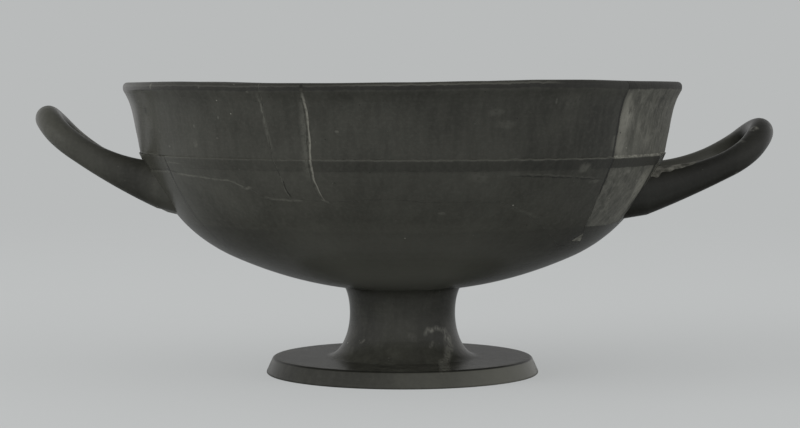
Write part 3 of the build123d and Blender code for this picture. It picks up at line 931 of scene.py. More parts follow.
def burnished_clay(colours, bowl):
    """Burnished grey-black clay: dark, satin, banded by the wheel, scuffed and smeared with filler, with
    painted light and shade: paler on the left and underneath, highlights along the ridge and the rim, shade
    on the ridge's face and the rim.
    """
    material, tree, place = new_material("burnished_grey_clay", thrown=True)
    coat, relief, burnish = clay_ground(tree, place, colours, settled_dust=0.28)
    wall = unrolled(tree, place, bowl)
    steady = unrolled(tree, place, bowl, stray=0.1)
    parts = add(tree, "SeparateXYZ", {0: wall})
    along, height = parts["X"], parts["Y"]
    outside = outer_face(tree, place)
    dust_and_light, dark = colours.clay_dust, colours.pit_and_shade
    # Dust, and painted light from the left.
    coat.lay(dust_and_light, 1.0, follow(tree, along, by_bearing(SLIP_DUST_AND_LIGHT)))
    coat.lay(dark, 1.0, follow(tree, height, SLIP_TONES), outside)
    centre, reach, strength = PALE_WALL
    coat.lay(dust_and_light, strength, wall_patch(tree, wall, centre, reach, soft=0.9), outside)
    # Painted light on the underside, and painted shade on the ridge's face.
    for laid, heights, bearings in (
        (dust_and_light, UNDERSIDE_LIGHT_HEIGHTS, UNDERSIDE_LIGHT_BEARINGS),
        (dark, RIDGE_SHADE_HEIGHTS, RIDGE_SHADE_BEARINGS),
    ):
        around = follow(tree, along, by_bearing(bearings))
        coat.lay(laid, 1.0, follow(tree, height, heights), around, outside)
    # Painted shade on the rolled rim.
    shaded, over = rim_shade(tree, along, height)
    coat.lay(dark, 0.62, shaded)
    # Painted highlight along the top of the rim.
    worn = follow(tree, along, by_bearing(RIM_HIGHLIGHT_BEARINGS))
    coat.lay(dust_and_light, 0.4, follow(tree, over, RIM_HIGHLIGHT_HEIGHTS), worn)
    broken = patches(tree, place, 1.6, detail=4.0, low=0.3, high=0.55)
    for laid, marks in ((dust_and_light, SMUDGES), (dark, DARK_SPOTS)):
        for centre, reach, strength in marks:
            coat.lay(laid, strength, wall_patch(tree, wall, centre, reach, soft=0.7), broken, outside)
    for laid, lines, upright in (
        (dust_and_light, PALE_UPRIGHTS, True),
        (dust_and_light, PALE_LEVELS, False),
        (dark, DARK_UPRIGHTS, True),
        (dark, DARK_LEVELS, False),
    ):
        for points, half_width, soft, strength in lines:
            mark = drawn_line(tree, wall, points, half_width, soft, upright)
            coat.lay(laid, strength, mark, broken, outside)
    for points, half_width, soft, strength in DARK_JOINS:
        coat.lay(dark, strength, drawn_line(tree, steady, points, half_width, soft, upright=True))
    # Painted highlight along the ridge's edge.
    worn = follow(tree, along, by_bearing(RIDGE_HIGHLIGHT_BEARINGS))
    coat.lay(dust_and_light, 1.0, follow(tree, height, RIDGE_HIGHLIGHT_HEIGHTS), worn, outside)
    clay_shader(tree, coat, relief, burnish, dull=0.27)
    return material


# What lies in the grooves along the breaks, by bearing: how much of the clay's own colour, and pale filler.
# A groove full of clay shines this much.
GROOVE_CLAY = [(-100.0, 0.6), (-63.0, 0.6), (-62.0, 0.0), (-57.5, 0.0), (-56.0, 1.0), (46.0, 1.0),
               (47.5, 0.0), (51.5, 0.0), (54.0, 1.0), (70.0, 1.0), (71.0, 0.0), (74.0, 0.0), (76.0, 0.6),
               (100.0, 0.6)]
GROOVE_FILLER = [(-100.0, 0.0), (-57.5, 0.0), (-56.0, 1.0), (-22.0, 0.8), (-19.5, 0.0), (100.0, 0.0)]
GROOVE_GLOSS = 0.5


def broken_clay(colours, bowl):
    """Raw clay of a worn break: dull and dark, with clay dust or pale filler left in some of the grooves."""
    material, tree, place = new_material("broken_grey_clay", thrown=True)
    along = add(tree, "SeparateXYZ", {0: unrolled(tree, place, bowl)})["X"]
    broken = patches(tree, place, 2.2, detail=3.0, low=0.35, high=0.6)
    filled = follow(tree, along, by_bearing(GROOVE_CLAY))
    dusty = Coat(tree, colours.clay)
    dusty.lay(colours.clay_dust, 0.3, broken)
    coat = Coat(tree, colours.pit_and_shade)
    coat.lay(dusty.tint, 1.0, filled)
    coat.lay(colours.clay_dust, 0.5, follow(tree, along, by_bearing(GROOVE_FILLER)), broken)
    gloss = add(tree, "Math", {0: filled, 1: GROOVE_GLOSS}, operation="MULTIPLY")[0]
    shade(tree, Base_Color=coat.tint, Roughness=0.45, IOR=1.4, Specular_IOR_Level=gloss)
    return material


# Marks on the plaster panels, as on the bowl: paler scrapes, the soiled place, the pale edge beside the left
# join, the dark line of the open join on the right, and the painted highlight along the ridge.
PANEL_SCRAPES = [
    ((51.0, 12.0), (4.4, 6.5), 0.95),
    ((50.6, 3.5), (3.6, 6.0), 0.5),
    ((61.0, 4.5), (4.0, 4.5), 0.4),
    ((56.0, 9.0), (2.4, 3.0), 0.35),
    ((68.0, -10.0), (7.0, 9.0), 0.95),
    ((66.5, -8.5), (5.0, 5.0), 0.8),
    ((66.0, -18.0), (7.0, 5.0), 0.45),
    ((56.5, -4.6), (2.2, 1.0), 0.4),
]
SOILED_PLACE = ((64.5, 14.0), (9.0, 11.0), 0.4)
PALE_EDGE = ([(50.0, 20.5), (49.7, 10.0), (49.7, 0.0)], 0.4, 2.4, 0.6)
OPEN_JOIN = ([(71.6, 1.0), (71.2, -11.5), (70.4, -18.0)], 0.7, 0.5, 0.85)
PANEL_RIDGE_HIGHLIGHT_HEIGHTS = [(-0.4, 0), (-0.2, 1), (0.25, 1), (0.5, 0)]


def toned_plaster(colours, bowl):
    """Plaster panel, toned by hand to the clay: lighter, dull, streaked, mottled, with bare white specks,
    and with painted shade on the ridge's face and the rim and a painted highlight along the ridge.
    """
    material, tree, place = new_material("toned_plaster", thrown=True)
    wall = unrolled(tree, place, bowl)
    parts = add(tree, "SeparateXYZ", {0: wall})
    along, height = parts["X"], parts["Y"]
    outside = outer_face(tree, place)
    pale, dark = colours.pale_plaster, colours.pit_and_shade
    scraped = patches(tree, place, 1.1, (1, 1, 3), detail=4.0, low=0.3, high=0.6)
    coat = Coat(tree, colours.toned_plaster)
    coat.lay(dark, 0.42, patches(tree, place, 5.0, (1, 1, 2.2), detail=5.0, low=0.36, high=0.64))
    centre, reach, strength = SOILED_PLACE
    coat.lay(dark, strength, wall_patch(tree, wall, centre, reach, soft=0.8))
    coat.lay(pale, 0.2, patches(tree, place, 1.5, (1, 1, 14), low=0.36, high=0.64))
    coat.lay(pale, 0.22, patches(tree, place, 2.0, detail=5.0, low=0.5, high=0.62))
    points, half_width, soft, strength = PALE_EDGE
    coat.lay(pale, strength, drawn_line(tree, wall, points, half_width, soft, upright=True))
    for centre, reach, strength in PANEL_SCRAPES:
        coat.lay(pale, strength, wall_patch(tree, wall, centre, reach, soft=0.8), scraped)
    coat.lay(colours.clay_speck, 0.8, specks(tree, place, spacing=2.4, size=0.24, share=0.22))
    coat.lay(dark, 0.7, specks(tree, place, spacing=3.1, size=0.3, share=0.25))
    # Painted shade on the ridge's face, in the clay's colour.
    coat.lay(colours.clay, 0.95, follow(tree, height, RIDGE_SHADE_HEIGHTS), outside)
    # Painted highlight along the ridge.
    coat.lay(colours.clay_speck, 0.6, follow(tree, height, PANEL_RIDGE_HIGHLIGHT_HEIGHTS), scraped, outside)
    # Painted shade on the rolled rim.
    coat.lay(dark, 0.85, rim_shade(tree, along, height)[0])
    points, half_width, soft, strength = OPEN_JOIN
    coat.lay(dark, strength, drawn_line(tree, wall, points, half_width, soft, upright=True))
    # Scrape marks, about 0.08 mm deep.
    rough = patches(tree, place, 0.9, detail=4.0, low=0.2, high=0.8)
    normal = add(tree, "Bump", {"Height": rough, "Distance": 0.08 * MM, "Strength": 0.8})[0]
    shade(tree, Base_Color=coat.tint, Roughness=0.62, IOR=1.45, Normal=normal)
    return material


# The bare core of the crack's plaster, as points (bearing, height above the ridge), and how the plaster
# darkens up to the rim: first to the clay's grey and then to the painted shade on the rim.
CRACK_CORE = [(-19.0, 21.5), (-18.4, 12.7), (-18.3, 7.0), (-18.45, 0.0), (-18.35, -5.7), (-17.5, -9.8),
              (-16.4, -13.6)]
CRACK_GREYING = [(19.5, 0), (21.4, 1), (23.2, 1)]
CRACK_RIM_SHADE = [(21.4, 0), (21.9, 1), (23.2, 1)]


def crack_plaster(colours, bowl):
    """Plaster in the wide crack: soiled to the clay's grey, with a bare pale core that fades at the rim."""
    material, tree, place = new_material("crack_plaster", thrown=True)
    wall = unrolled(tree, place, bowl, stray=0.2)
    height = add(tree, "SeparateXYZ", {0: wall})["Y"]
    coat = Coat(tree, colours.clay)
    coat.lay(colours.toned_plaster, 0.7, patches(tree, place, 1.6, detail=4.0, low=0.3, high=0.6))
    bare = patches(tree, place, 1.0, (1, 1, 2), detail=4.0, low=0.25, high=0.5)
    core = drawn_line(tree, wall, CRACK_CORE, half_width=0.16, soft=0.3, upright=True)
    coat.lay(colours.pale_plaster, 0.9, core, bare)
    coat.lay(colours.clay, 0.8, follow(tree, height, CRACK_GREYING))
    coat.lay(colours.pit_and_shade, 0.62, follow(tree, height, CRACK_RIM_SHADE))
    shade(tree, Base_Color=coat.tint, Roughness=0.7, IOR=1.4)
    return material


def bare_plaster(colours):
    """Bare plaster in a chip or over a joint: pale, dull, soiled in places."""
    material, tree, place = new_material("bare_plaster")
    coat = Coat(tree, colours.pale_plaster)
    coat.lay(colours.clay, 0.75, patches(tree, place, 2.4, detail=5.0, low=0.35, high=0.65))
    coat.lay(colours.pit_and_shade, 0.6, specks(tree, place, spacing=1.8, size=0.24, share=0.3))
    # Brush and knife marks, about 0.1 mm deep.
    rough = patches(tree, place, 0.7, detail=4.0, low=0.2, high=0.8)
    normal = add(tree, "Bump", {"Height": rough, "Distance": 0.1 * MM, "Strength": 0.9})[0]
    shade(tree, Base_Color=coat.tint, Roughness=0.85, IOR=1.4, Normal=normal)
    return material


# Scars on the stem's front, as points (across, up) in millimetres, with half width, soft edge and strength,
# and the places along Y where the scars start and are full.
STEM_SCARS = [
    ([(7.3, 14.2), (8.1, 15.6), (9.1, 15.0)], 0.15, 0.8, 0.3),
    ([(9.4, 15.2), (10.7, 15.8), (13.3, 14.9), (14.6, 12.4)], 0.12, 0.9, 0.3),
    ([(14.9, 12.2), (15.6, 8.8), (14.1, 5.8), (12.2, 5.4)], 0.2, 1.0, 0.22),
    ([(13.6, 12.6), (14.2, 9.0), (13.6, 7.2)], 0.12, 0.8, 0.18),
    ([(9.0, 10.2), (9.7, 11.4)], 0.15, 0.6, 0.16),
    ([(2.2, 13.6), (3.4, 13.0)], 0.5, 1.0, 0.08),
    ([(-13.4, 10.8), (-12.2, 11.9)], 0.1, 0.3, 0.22),
]
STEM_FRONT = (-8.0, -10.0)
# Dust where a hand holds the stem: middle and reach along X, Y and Z in millimetres, and strength.
STEM_HOLD = ((0, -20.0, 26.0), (16.0, 18.0, 28.0), 0.2)
# Tones of the foot's edge by place along X: darker on the left, dustier on the right.
FOOT_SHADE = [(-45.0, 0.4), (-20.0, 0.3), (0.0, 0.1), (20.0, 0.0), (45.0, 0.0)]
FOOT_DUST = [(-45.0, 0.0), (-10.0, 0.12), (15.0, 0.4), (30.0, 0.75), (45.0, 0.75)]
# Heights over the foot's upper face: where the tones of its edge start and are full, and the painted shade
# of the crease along it.
FOOT_EDGE = (-0.15, -0.45)
FOOT_CREASE_SHADE = [(-0.55, 0), (-0.35, 1), (-0.1, 1), (-0.02, 0)]


def turned_clay(colours, stem):
    """Clay of the stem and foot: dark and satin, dusty on the foot, with pale scars on the stem and painted
    shade along the crease at the foot's upper edge.
    """
    material, tree, place = new_material("turned_grey_clay")
    coat, relief, burnish = clay_ground(tree, place, colours, settled_dust=0.16)
    coat.lay(colours.pit_and_shade, 0.3, patches(tree, place, 7.0, detail=4.0, low=0.4, high=0.6))
    parts = add(tree, "SeparateXYZ", {0: place})
    front = add(tree, "MapRange", {0: parts["Y"], 1: STEM_FRONT[0], 2: STEM_FRONT[1]})[0]
    flat = add(tree, "CombineXYZ", {0: parts["X"], 1: parts["Z"]})[0]
    broken = patches(tree, place, 0.8, (1, 1, 2.5), detail=4.0, low=0.3, high=0.6)
    for points, half_width, soft, strength in STEM_SCARS:
        scar = drawn_scar(tree, flat, points, half_width, soft)
        coat.lay(colours.clay_speck, strength, scar, front, broken)
    centre, reach, strength = STEM_HOLD
    coat.lay(colours.clay_dust, strength, patch(tree, place, centre, reach, soft=0.7))
    top = stem.foot_thickness / MM
    edge = add(tree, "MapRange", {0: parts["Z"], 1: top + FOOT_EDGE[0], 2: top + FOOT_EDGE[1]})[0]
    for laid, tones in ((colours.pit_and_shade, FOOT_SHADE), (colours.clay_dust, FOOT_DUST)):
        coat.lay(laid, 1.0, edge, follow(tree, parts["X"], tones))
    crease_shade = [(top + below, dark) for below, dark in FOOT_CREASE_SHADE]
    coat.lay(colours.pit_and_shade, 0.7, follow(tree, parts["Z"], crease_shade))
    clay_shader(tree, coat, relief, burnish, dull=0.27)
    return material


# Rubbed places on the handles: middle and reach along X, Y and Z in millimetres, and strength.
HANDLE_RUBS = [
    ((-115.5, -3.5, 85.0), (1.3, 1.5, 1.0), 0.6),
    ((-105.0, 17.0, 78.0), (13.0, 7.0, 10.0), 0.4),
    ((-107.0, -14.0, 71.5), (1.4, 4.0, 1.0), 0.6),
    ((103.0, -17.0, 71.8), (4.0, 2.2, 0.9), 0.45),
    ((108.0, -15.5, 75.2), (3.4, 2.6, 1.0), 0.35),
    ((111.8, -12.0, 79.4), (2.0, 3.0, 1.6), 0.5),
    ((115.0, -10.0, 75.5), (1.6, 3.0, 0.9), 0.45),
    ((105.5, -19.5, 64.8), (1.0, 3.5, 1.6), 0.4),
    ((117.5, -7.0, 79.5), (1.2, 2.5, 0.8), 0.4),
]
# How much painted shade lies on the handles' near arms, by place along X, and dust on the handles.
HANDLE_SHADE = [(-120.0, 0.0), (-98.0, 0.0), (-86.0, 0.25), (-74.0, 0.0), (70.0, 0.5), (80.0, 0.6),
                (110.0, 0.6), (120.0, 0.85)]
HANDLE_DUST = [(-120.0, 0.14), (-98.0, 0.14), (-90.0, 0.02), (-82.0, 0.02), (-74.0, 0.25), (-60.0, 0.25),
               (0.0, 0.0), (120.0, 0.0)]
# Places along Y where the painted shade on the near arms starts and is full, and where the painted light on
# the far arms starts and is full.
NEAR_ARMS = (8.0, 0.0)
FAR_ARMS = (6.0, 12.0)


def rolled_clay(colours):
    """Clay of the handles: dark and satin, rubbed pale where a hand or a shelf touches, with painted shade
    on the near arms and painted light on the far arms.
    """
    material, tree, place = new_material("rolled_grey_clay")
    coat, relief, burnish = clay_ground(tree, place, colours, settled_dust=0.1)
    parts = add(tree, "SeparateXYZ", {0: place})
    coat.lay(colours.clay_dust, 1.0, follow(tree, parts["X"], HANDLE_DUST))
    near = add(tree, "MapRange", {0: parts["Y"], 1: NEAR_ARMS[0], 2: NEAR_ARMS[1]})[0]
    # Painted shade on the near arms.
    coat.lay(colours.pit_and_shade, 1.0, follow(tree, parts["X"], HANDLE_SHADE), near)
    far = add(tree, "MapRange", {0: parts["Y"], 1: FAR_ARMS[0], 2: FAR_ARMS[1]})[0]
    # Painted light on the far arms.
    coat.lay(colours.clay_dust, 0.6, far)
    broken = patches(tree, place, 1.5, detail=4.0, low=0.35, high=0.65)
    for centre, reach, strength in HANDLE_RUBS:
        coat.lay(colours.clay_speck, strength, patch(tree, place, centre, reach, soft=0.8), broken)
    clay_shader(tree, coat, relief, burnish, dull=0.3)
    return material


def settings():
    """The scene's bowl, stem and handle sizes and its colours."""
    scene = bpy.context.scene
    return scene.cup_bowl, scene.cup_stem, scene.cup_handles, scene.cup_colours


class CUP_OT_bowl_sherds(bpy.types.Operator):
    """Throw the bowl and break it into its clay sherds"""
    bl_idname = "cup.bowl_sherds"
    bl_label = "Bowl Sherds"

    def execute(self, context):
        bowl, _, _, colours = settings()
        clay = burnished_clay(colours, bowl)
        raw = broken_clay(colours, bowl)
        for node, outline in SHERD_OUTLINES.items():
            piece = broken_piece(node + "_clay", bowl, outline, SHERD_GROOVE)
            weather(piece, bowl)
            finish_piece(piece, node, [clay, raw])
        outlines = list(SHERD_OUTLINES.values()) + list(FILL_OUTLINES.values())
        base = rest_of_bowl("bowl_base_clay", bowl, outlines, SHERD_GROOVE)
        weather(base, bowl)
        finish_piece(base, "bowl_base", [clay, raw])
        return {"FINISHED"}


class CUP_OT_plaster_fills(bpy.types.Operator):
    """Fill the gaps in the bowl's wall with plaster"""
    bl_idname = "cup.plaster_fills"
    bl_label = "Plaster Fills"

    def execute(self, context):
        bowl, _, _, colours = settings()
        toned = toned_plaster(colours, bowl)
        fills = {
            "fill_crack": (crack_plaster(colours, bowl), "pale_plaster", 0),
            "fill_chip": (bare_plaster(colours), "pale_plaster", 0),
            "fill_lip_right": (toned, "toned_plaster", PANEL_GROOVE),
            "fill_wall_right": (toned, "toned_plaster", PANEL_GROOVE),
        }
        for node, (finish, slot, groove) in fills.items():
            piece = broken_piece(node + "_plaster", bowl, FILL_OUTLINES[node], groove)
            weather(piece, bowl)
            finish_piece(piece, node, [finish, finish])
        return {"FINISHED"}


class CUP_OT_stem_foot(bpy.types.Operator):
    """Throw the hollow stem with its disc foot"""
    bl_idname = "cup.stem_foot"
    bl_label = "Stem and Foot"

    def execute(self, context):
        bowl, stem, _, colours = settings()
        mesh = bmesh.new()
        top = wall_bottom(bowl) + stem.lap
        toe = stem.neck_radius + stem.foot_flare
        draw_flare(mesh, stem, stem.foot_flare, stem.foot_thickness, pieces=26)
        shoulder = draw_flare(mesh, stem, stem.bowl_flare, top, pieces=16)
        shoulder.line(point(0, top))
        disc = Outline(mesh, point(toe, stem.foot_thickness))
        disc.line(point(stem.foot_edge_radius, stem.foot_thickness), pieces=10)
        disc.line(point(stem.foot_radius, 0), pieces=4)
        disc.line(point(stem.bore_mouth, 0), pieces=14)
        disc.line(point(stem.bore_top, stem.bore_depth - stem.bore_round), pieces=8)
        disc.arc(point(stem.bore_top - stem.bore_round, stem.bore_depth), (0, 0, 1), pieces=6)
        disc.line(point(0, stem.bore_depth), pieces=2)
        spun(mesh)
        wear_ring(mesh, stem.foot_edge_radius, stem.foot_thickness, stem.foot_edge_round, segments=4)
        wear_ring(mesh, stem.foot_radius, 0, stem.foot_toe_round, segments=4)
        piece = new_object("stem_foot_clay", mesh)
        cut(piece, [copy_of("bowl_body", bowl_body, bowl)], "DIFFERENCE")
        finish_piece(piece, "stem_foot", [turned_clay(colours, stem)])
        return {"FINISHED"}


def draw_flare(mesh, stem, flare, end_height, pieces):
    """Draws a quarter of an ellipse from the neck to its flare at the end height; returns its outline."""
    rise = abs(end_height - stem.neck_height)
    down = 1 if end_height < stem.neck_height else -1
    before = set(mesh.verts)
    outline = Outline(mesh, point(stem.neck_radius, stem.neck_height))
    end = point(stem.neck_radius + flare, stem.neck_height - down * flare)
    outline.arc(end, (0, 0, -down), pieces)
    made = [v for v in mesh.verts if v not in before]
    level = Matrix.Translation(-point(0, stem.neck_height))
    bmesh.ops.scale(mesh, verts=made, vec=(1, 1, rise / flare), space=level)
    return outline


# Clay worn off the handles by handling.
HAND_WEAR = 0.02 * MM


def arm_radius(handles, share):
    """Radius of an arm at a share of its length: a smooth swell through its three named radii."""
    root, mid, rod, at = handles.root_radius, handles.mid_radius, handles.rod_radius, handles.mid_share
    return (
        root * (share - at) * (share - 1) / at
        + mid * share * (share - 1) / (at * (at - 1))
        + rod * share * (share - at) / (1 - at)
    )


def handle_frame(bowl, handles, side, roll):
    """Frame of a loop: X along the arms, Y across the loop, Z up, from the axis at the roots' height."""
    out = Vector((side, 0, 0))
    up = Vector((0, -sin(roll), cos(roll)))
    across = up.cross(out)
    turn = Matrix((out, across, up)).transposed().to_4x4()
    return Matrix.Translation(point(0, bowl.ridge_height - handles.root_drop)) @ turn


# Sides of a rolled rod, and steps along an arm and along each of the two arcs of half a bend.
RING_SIDES = 48
ARM_STEPS = 48
BEND_STEPS = 40


def loop_sizes(handles, side):
    """Arm length, pitches of the roots, the arms and the bend, and roll of the left or right loop."""
    names = ("arm_length", "root_pitch", "arm_pitch", "tip_pitch", "roll")
    return [getattr(handles, f"{side}_{name}") for name in names]


def arm_line(bowl, handles, arm_length, root_pitch, arm_pitch):
    """Start, heading and end of an arm, in its loop's frame."""
    start = Vector((wall_top(bowl).x - handles.start_inset, -handles.half_spacing, 0))
    radius = arm_length / (arm_pitch - root_pitch)
    run = radius * (sin(arm_pitch) - sin(root_pitch))
    rise = radius * (cos(root_pitch) - cos(arm_pitch))
    return start, Vector((cos(root_pitch), 0, sin(root_pitch))), start + Vector((run, 0, rise))


def sweep_ring(mesh, ring, start, heading, end, steps, radius_at):
    """Sweeps a ring along a tangent arc, with its radius at each share; returns the ring and its heading."""
    centre, axis, turn = tangent_arc(start, heading, end)
    middle, size = start, radius_at(0)
    step = Matrix.Rotation(turn / steps, 3, axis)
    for i in range(1, steps + 1):
        made = bmesh.ops.spin(mesh, geom=ring, cent=centre, axis=axis, angle=turn / steps, steps=1)
        ring = only((BMVert, BMEdge), made["geom_last"])
        middle = centre + step @ (middle - centre)
        grown = radius_at(i / steps) / size
        bmesh.ops.scale(mesh, verts=only(BMVert, ring), vec=[grown] * 3, space=Matrix.Translation(-middle))
        size = radius_at(i / steps)
        heading = step @ heading
    return ring, heading


def start_ring(mesh, start, heading, radius):
    """Open ring of edges across the heading."""
    across = Matrix.Translation(start) @ heading.to_track_quat("Z", "Y").to_matrix().to_4x4()
    made = bmesh.ops.create_circle(mesh, segments=RING_SIDES, radius=radius, matrix=across)["verts"]
    return made + list({e for v in made for e in v.link_edges})


def close_ring(mesh, ring):
    """Caps a ring of edges with one face."""
    bmesh.ops.contextual_create(mesh, geom=only(BMEdge, ring))


def biarc_meeting(start, start_way, end, end_way):
    """Point where two equal-reach tangent arcs meet, from start along start_way to end along end_way."""
    span = end - start
    spread = 2 * (1 - start_way.dot(end_way))
    along = span.dot(start_way + end_way)
    reach = (sqrt(along * along + spread * span.dot(span)) - along) / spread
    return (start + start_way * reach + end - end_way * reach) * 0.5


def loop_handle(bowl, handles, arm_length, root_pitch, arm_pitch, tip_pitch):
    """A whole loop in its own frame: root, arm and bend, mirrored."""
    mesh = bmesh.new()
    start, heading, elbow = arm_line(bowl, handles, arm_length, root_pitch, arm_pitch)
    ring = start_ring(mesh, start, heading, handles.root_radius - HAND_WEAR)
    tail = bmesh.ops.extrude_edge_only(mesh, edges=only(BMEdge, ring))["geom"]
    back = -heading * (handles.start_inset + handles.root_radius)
    bmesh.ops.translate(mesh, verts=only(BMVert, tail), vec=back)
    close_ring(mesh, [edge for edge in only(BMEdge, tail) if len(edge.link_faces) == 1])
    rod = handles.rod_radius - HAND_WEAR
    ring, out = sweep_ring(mesh, ring, start, heading, elbow, ARM_STEPS,
                           lambda share: arm_radius(handles, share) - HAND_WEAR)
    reach = handles.half_spacing
    tip = elbow + Vector((reach * cos(tip_pitch), reach, reach * sin(tip_pitch)))
    meeting = biarc_meeting(elbow, out, tip, Vector((0, 1, 0)))
    ring, out = sweep_ring(mesh, ring, elbow, out, meeting, BEND_STEPS, lambda share: rod)
    sweep_ring(mesh, ring, meeting, out, tip, BEND_STEPS, lambda share: rod)
    half = mesh.verts[:] + mesh.edges[:] + mesh.faces[:]
    bmesh.ops.mirror(mesh, geom=half, axis="Y", merge_dist=SAME_PLACE)
    bmesh.ops.remove_doubles(mesh, verts=mesh.verts, dist=SAME_PLACE)
    bmesh.ops.recalc_face_normals(mesh, faces=mesh.faces)
    return mesh


class CUP_OT_handles(bpy.types.Operator):
    """Roll the two loop handles and lute them to the wall"""
    bl_idname = "cup.handles"
    bl_label = "Handles"

    def execute(self, context):
        bowl, _, handles, colours = settings()
        clay = rolled_clay(colours)
        for side, way in (("left", -1), ("right", 1)):
            *shape, roll = loop_sizes(handles, side)
            mesh = loop_handle(bowl, handles, *shape)
            bmesh.ops.transform(mesh, verts=mesh.verts, matrix=handle_frame(bowl, handles, way, roll))
            piece = new_object(f"handle_{side}_clay", mesh)
            cut(piece, [copy_of("bowl_body", bowl_body, bowl)], "DIFFERENCE")
            finish_piece(piece, f"handle_{side}", [clay])
        return {"FINISHED"}


class CUP_OT_handle_plaster(bpy.types.Operator):
    """Lay plaster over the near root of the right handle"""
    bl_idname = "cup.handle_plaster"
    bl_label = "Handle Plaster"

    def execute(self, context):
        bowl, _, handles, colours = settings()
        *shape, roll = loop_sizes(handles, "right")
        mesh = bmesh.new()
        start, heading, elbow = arm_line(bowl, handles, *shape[:3])
        centre, axis, turn = tangent_arc(start, heading, elbow)
        end = centre + Matrix.Rotation(turn * handles.coat_share, 3, axis) @ (start - centre)
        ring = start_ring(mesh, start, heading, handles.root_radius)
        close_ring(mesh, ring)
        ring, _ = sweep_ring(mesh, ring, start, heading, end, ARM_STEPS,
                             lambda share: arm_radius(handles, share * handles.coat_share))
        close_ring(mesh, ring)
        bmesh.ops.recalc_face_normals(mesh, faces=mesh.faces)
        feather_coat(mesh, handles, start, centre, axis, turn)
        loop = handle_frame(bowl, handles, 1, roll)
        bmesh.ops.transform(mesh, verts=mesh.verts, matrix=loop)
        piece = new_object("fill_handle_right_plaster", mesh)
        rod = loop_handle(bowl, handles, *shape)
        bmesh.ops.transform(rod, verts=rod.verts, matrix=loop)
        cut(piece, [new_object("rod", rod), copy_of("bowl_body", bowl_body, bowl)], "DIFFERENCE")
        finish_piece(piece, "fill_handle_right", [bare_plaster(colours)])
        return {"FINISHED"}


# Plaster on the arm: half its spread round the arm in degrees, at its root and at its end, and how far its
# edge wanders over what length.
COAT_SPREAD_ROOT = 76.0
COAT_SPREAD_END = 34.0
COAT_WANDER = 0.3 * MM
COAT_WANDER_SIZE = 2.6 * MM
# How steeply it rises from its edges, in coats, the share of that rise and of its thickness that it loses
# towards its end, where along its length it starts to run out and how fast, and how far its edge is buried.
COAT_RISE = 2.2
COAT_RISE_LOSS = 0.45
COAT_THINNING = 0.4
COAT_RUN_OUT_START = 0.8
COAT_RUN_OUT = 4
COAT_BURIED = 0.4 * MM


def feather_coat(mesh, handles, start, centre, axis, turn):
    """Lays a coat on a swept arm: full along its crest, feathered to below the skin at its uneven edge."""
    crest = Vector((0, sin(handles.coat_lean), cos(handles.coat_lean)))
    arm = start - centre
    for vert in mesh.verts:
        flat = (vert.co - centre) - axis * axis.dot(vert.co - centre)
        swing = atan2(axis.dot(arm.cross(flat)), arm.dot(flat))
        out = (vert.co - centre - Matrix.Rotation(swing, 3, axis) @ arm).normalized()
        share = min(1.0, swing / (turn * handles.coat_share))
        spread = radians(COAT_SPREAD_ROOT + (COAT_SPREAD_END - COAT_SPREAD_ROOT) * share)
        rise = COAT_RISE * (1 - out.angle(crest) / spread) * (1 - COAT_RISE_LOSS * share)
        inside = rise - COAT_RUN_OUT * max(0.0, share - COAT_RUN_OUT_START)
        wander = noise.noise(vert.co * (1 / COAT_WANDER_SIZE)) * COAT_WANDER
        full = handles.coat * (1 - COAT_THINNING * share)
        vert.co += out * max(-COAT_BURIED, min(full, handles.coat * inside + wander))


# Strength of the light from all round. Of the paper: how much of what the camera sees is an even glow, how
# strong that is, and where it starts to fade into the backdrop and is gone, in millimetres from the cup.
ROOM_LIGHT = 0.5
PAPER_EVENNESS = 0.56
PAPER_GLOW = 1.32
PAPER_FADE = (300.0, 1100.0)


def backdrop_paper(colours):
    """Plain pale paper, evenly lit, which fades into the even backdrop behind the cup."""
    material, tree, place = new_material("backdrop_paper")
    apart = add(tree, "VectorMath", {0: place}, operation="LENGTH")["Value"]
    fade = {0: apart, 1: PAPER_FADE[0], 2: PAPER_FADE[1]}
    gone = add(tree, "MapRange", fade, interpolation_type="SMOOTHSTEP")[0]
    seen = add(tree, "LightPath")["Is Camera Ray"]
    paper = add(tree, "BsdfDiffuse", {"Color": colours.backdrop})[0]
    glow = add(tree, "Emission", {"Color": colours.backdrop, "Strength": PAPER_GLOW})[0]
    even = add(tree, "Math", {0: seen, 1: PAPER_EVENNESS}, operation="MULTIPLY")[0]
    lit = add(tree, "MixShader", {0: even, 1: paper, 2: glow})[0]
    clear = add(tree, "BsdfTransparent")[0]
    surface = add(tree, "MixShader", {0: gone, 1: lit, 2: clear})[0]
    add(tree, "OutputMaterial", {"Surface": surface})
    return material


def soft_room(colours):
    """Even, pale room: what the camera sees behind the cup, and a lower light from all round."""
    world = bpy.data.worlds.new("soft_room")
    world.use_nodes = True
    tree = world.node_tree
    tree.nodes.clear()
    seen = add(tree, "LightPath")["Is Camera Ray"]
    backdrop = add(tree, "Background", {"Color": colours.backdrop, "Strength": 1.0})[0]
    light = add(tree, "Background", {"Color": (1, 1, 1, 1), "Strength": ROOM_LIGHT})[0]
    surface = add(tree, "MixShader", {0: seen, 1: light, 2: backdrop})[0]
    add(tree, "OutputWorld", {"Surface": surface})
    return world


# Reach of the floor from its middle, in metres.
FLOOR_REACH = 1.5
# Soft lamps: place and aim in metres, width and height in metres, and power in watts.
LAMPS = {
    "window_left": ((-1.6, -0.75, 0.7), (0, 0, 0.05), (1.4, 1.2), 20.0),
    "window_right": ((1.5, -0.7, 0.5), (0, 0, 0.05), (1.2, 1.0), 8.0),
}
# Camera: its place, how far it looks down in degrees, and its lens and sensor width in millimetres.
CAMERA_PLACE = (-0.8 * MM, -745 * MM, 93.9 * MM)
CAMERA_DIP = 3.26
CAMERA_LENS = 103.5
CAMERA_SENSOR = 36


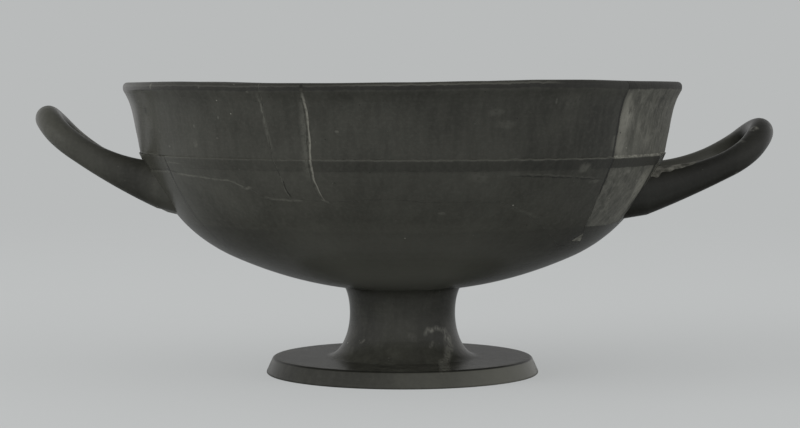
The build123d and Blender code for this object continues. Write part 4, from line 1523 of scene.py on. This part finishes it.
class CUP_OT_stage(bpy.types.Operator):
    """Set the floor, the light and the camera"""
    bl_idname = "cup.stage"
    bl_label = "Stage"

    def execute(self, context):
        scene = context.scene
        colours = scene.cup_colours
        scene.view_settings.view_transform = "Standard"
        mesh = bmesh.new()
        bmesh.ops.create_grid(mesh, x_segments=1, y_segments=1, size=FLOOR_REACH)
        floor = new_object("floor", mesh)
        floor.data.materials.clear()
        floor.data.materials.append(backdrop_paper(colours))
        scene.world = soft_room(colours)
        for name, (place, aim, size, power) in LAMPS.items():
            lamp = bpy.data.lights.new(name, "AREA")
            lamp.shape = "RECTANGLE"
            lamp.size, lamp.size_y = size
            lamp.energy = power
            stand = bpy.data.objects.new(name, lamp)
            stand.location = place
            stand.rotation_euler = (Vector(aim) - Vector(place)).to_track_quat("-Z", "Y").to_euler()
            stand.visible_glossy = False
            scene.collection.objects.link(stand)
        camera = bpy.data.cameras.new("camera")
        camera.lens = CAMERA_LENS
        camera.sensor_width = CAMERA_SENSOR
        stand = bpy.data.objects.new("camera", camera)
        stand.location = CAMERA_PLACE
        stand.rotation_euler = (radians(90 - CAMERA_DIP), 0, 0)
        scene.collection.objects.link(stand)
        scene.camera = stand
        return {"FINISHED"}


class CUP_PT_panel(bpy.types.Panel):
    """Lists the steps that build the cup"""
    bl_idname = "CUP_PT_panel"
    bl_label = "Mended Stemmed Cup"
    bl_space_type = "VIEW_3D"
    bl_region_type = "UI"
    bl_category = "Cup"

    def draw(self, context):
        for step in STEPS:
            self.layout.operator(step.bl_idname)
        for group in settings():
            for name in group.__annotations__:
                self.layout.prop(group, name)


STEPS = (CUP_OT_bowl_sherds, CUP_OT_plaster_fills, CUP_OT_stem_foot, CUP_OT_handles, CUP_OT_handle_plaster,
         CUP_OT_stage)
GROUPS = {
    "cup_bowl": BowlSizes,
    "cup_stem": StemSizes,
    "cup_handles": HandleSizes,
    "cup_colours": CupColours,
}


def register():
    """Registers the sizes, the steps and the panel."""
    for name, group in GROUPS.items():
        bpy.utils.register_class(group)
        setattr(bpy.types.Scene, name, PointerProperty(type=group))
    for step in STEPS + (CUP_PT_panel,):
        bpy.utils.register_class(step)


def unregister():
    """Takes away what register added."""
    for step in (CUP_PT_panel,) + STEPS[::-1]:
        bpy.utils.unregister_class(step)
    for name, group in GROUPS.items():
        delattr(bpy.types.Scene, name)
        bpy.utils.unregister_class(group)


def main():
    """Builds the cup and its stage."""
    register()
    bpy.ops.cup.bowl_sherds()
    bpy.ops.cup.plaster_fills()
    bpy.ops.cup.stem_foot()
    bpy.ops.cup.handles()
    bpy.ops.cup.handle_plaster()
    bpy.ops.cup.stage()


if __name__ == "__main__":
    main()
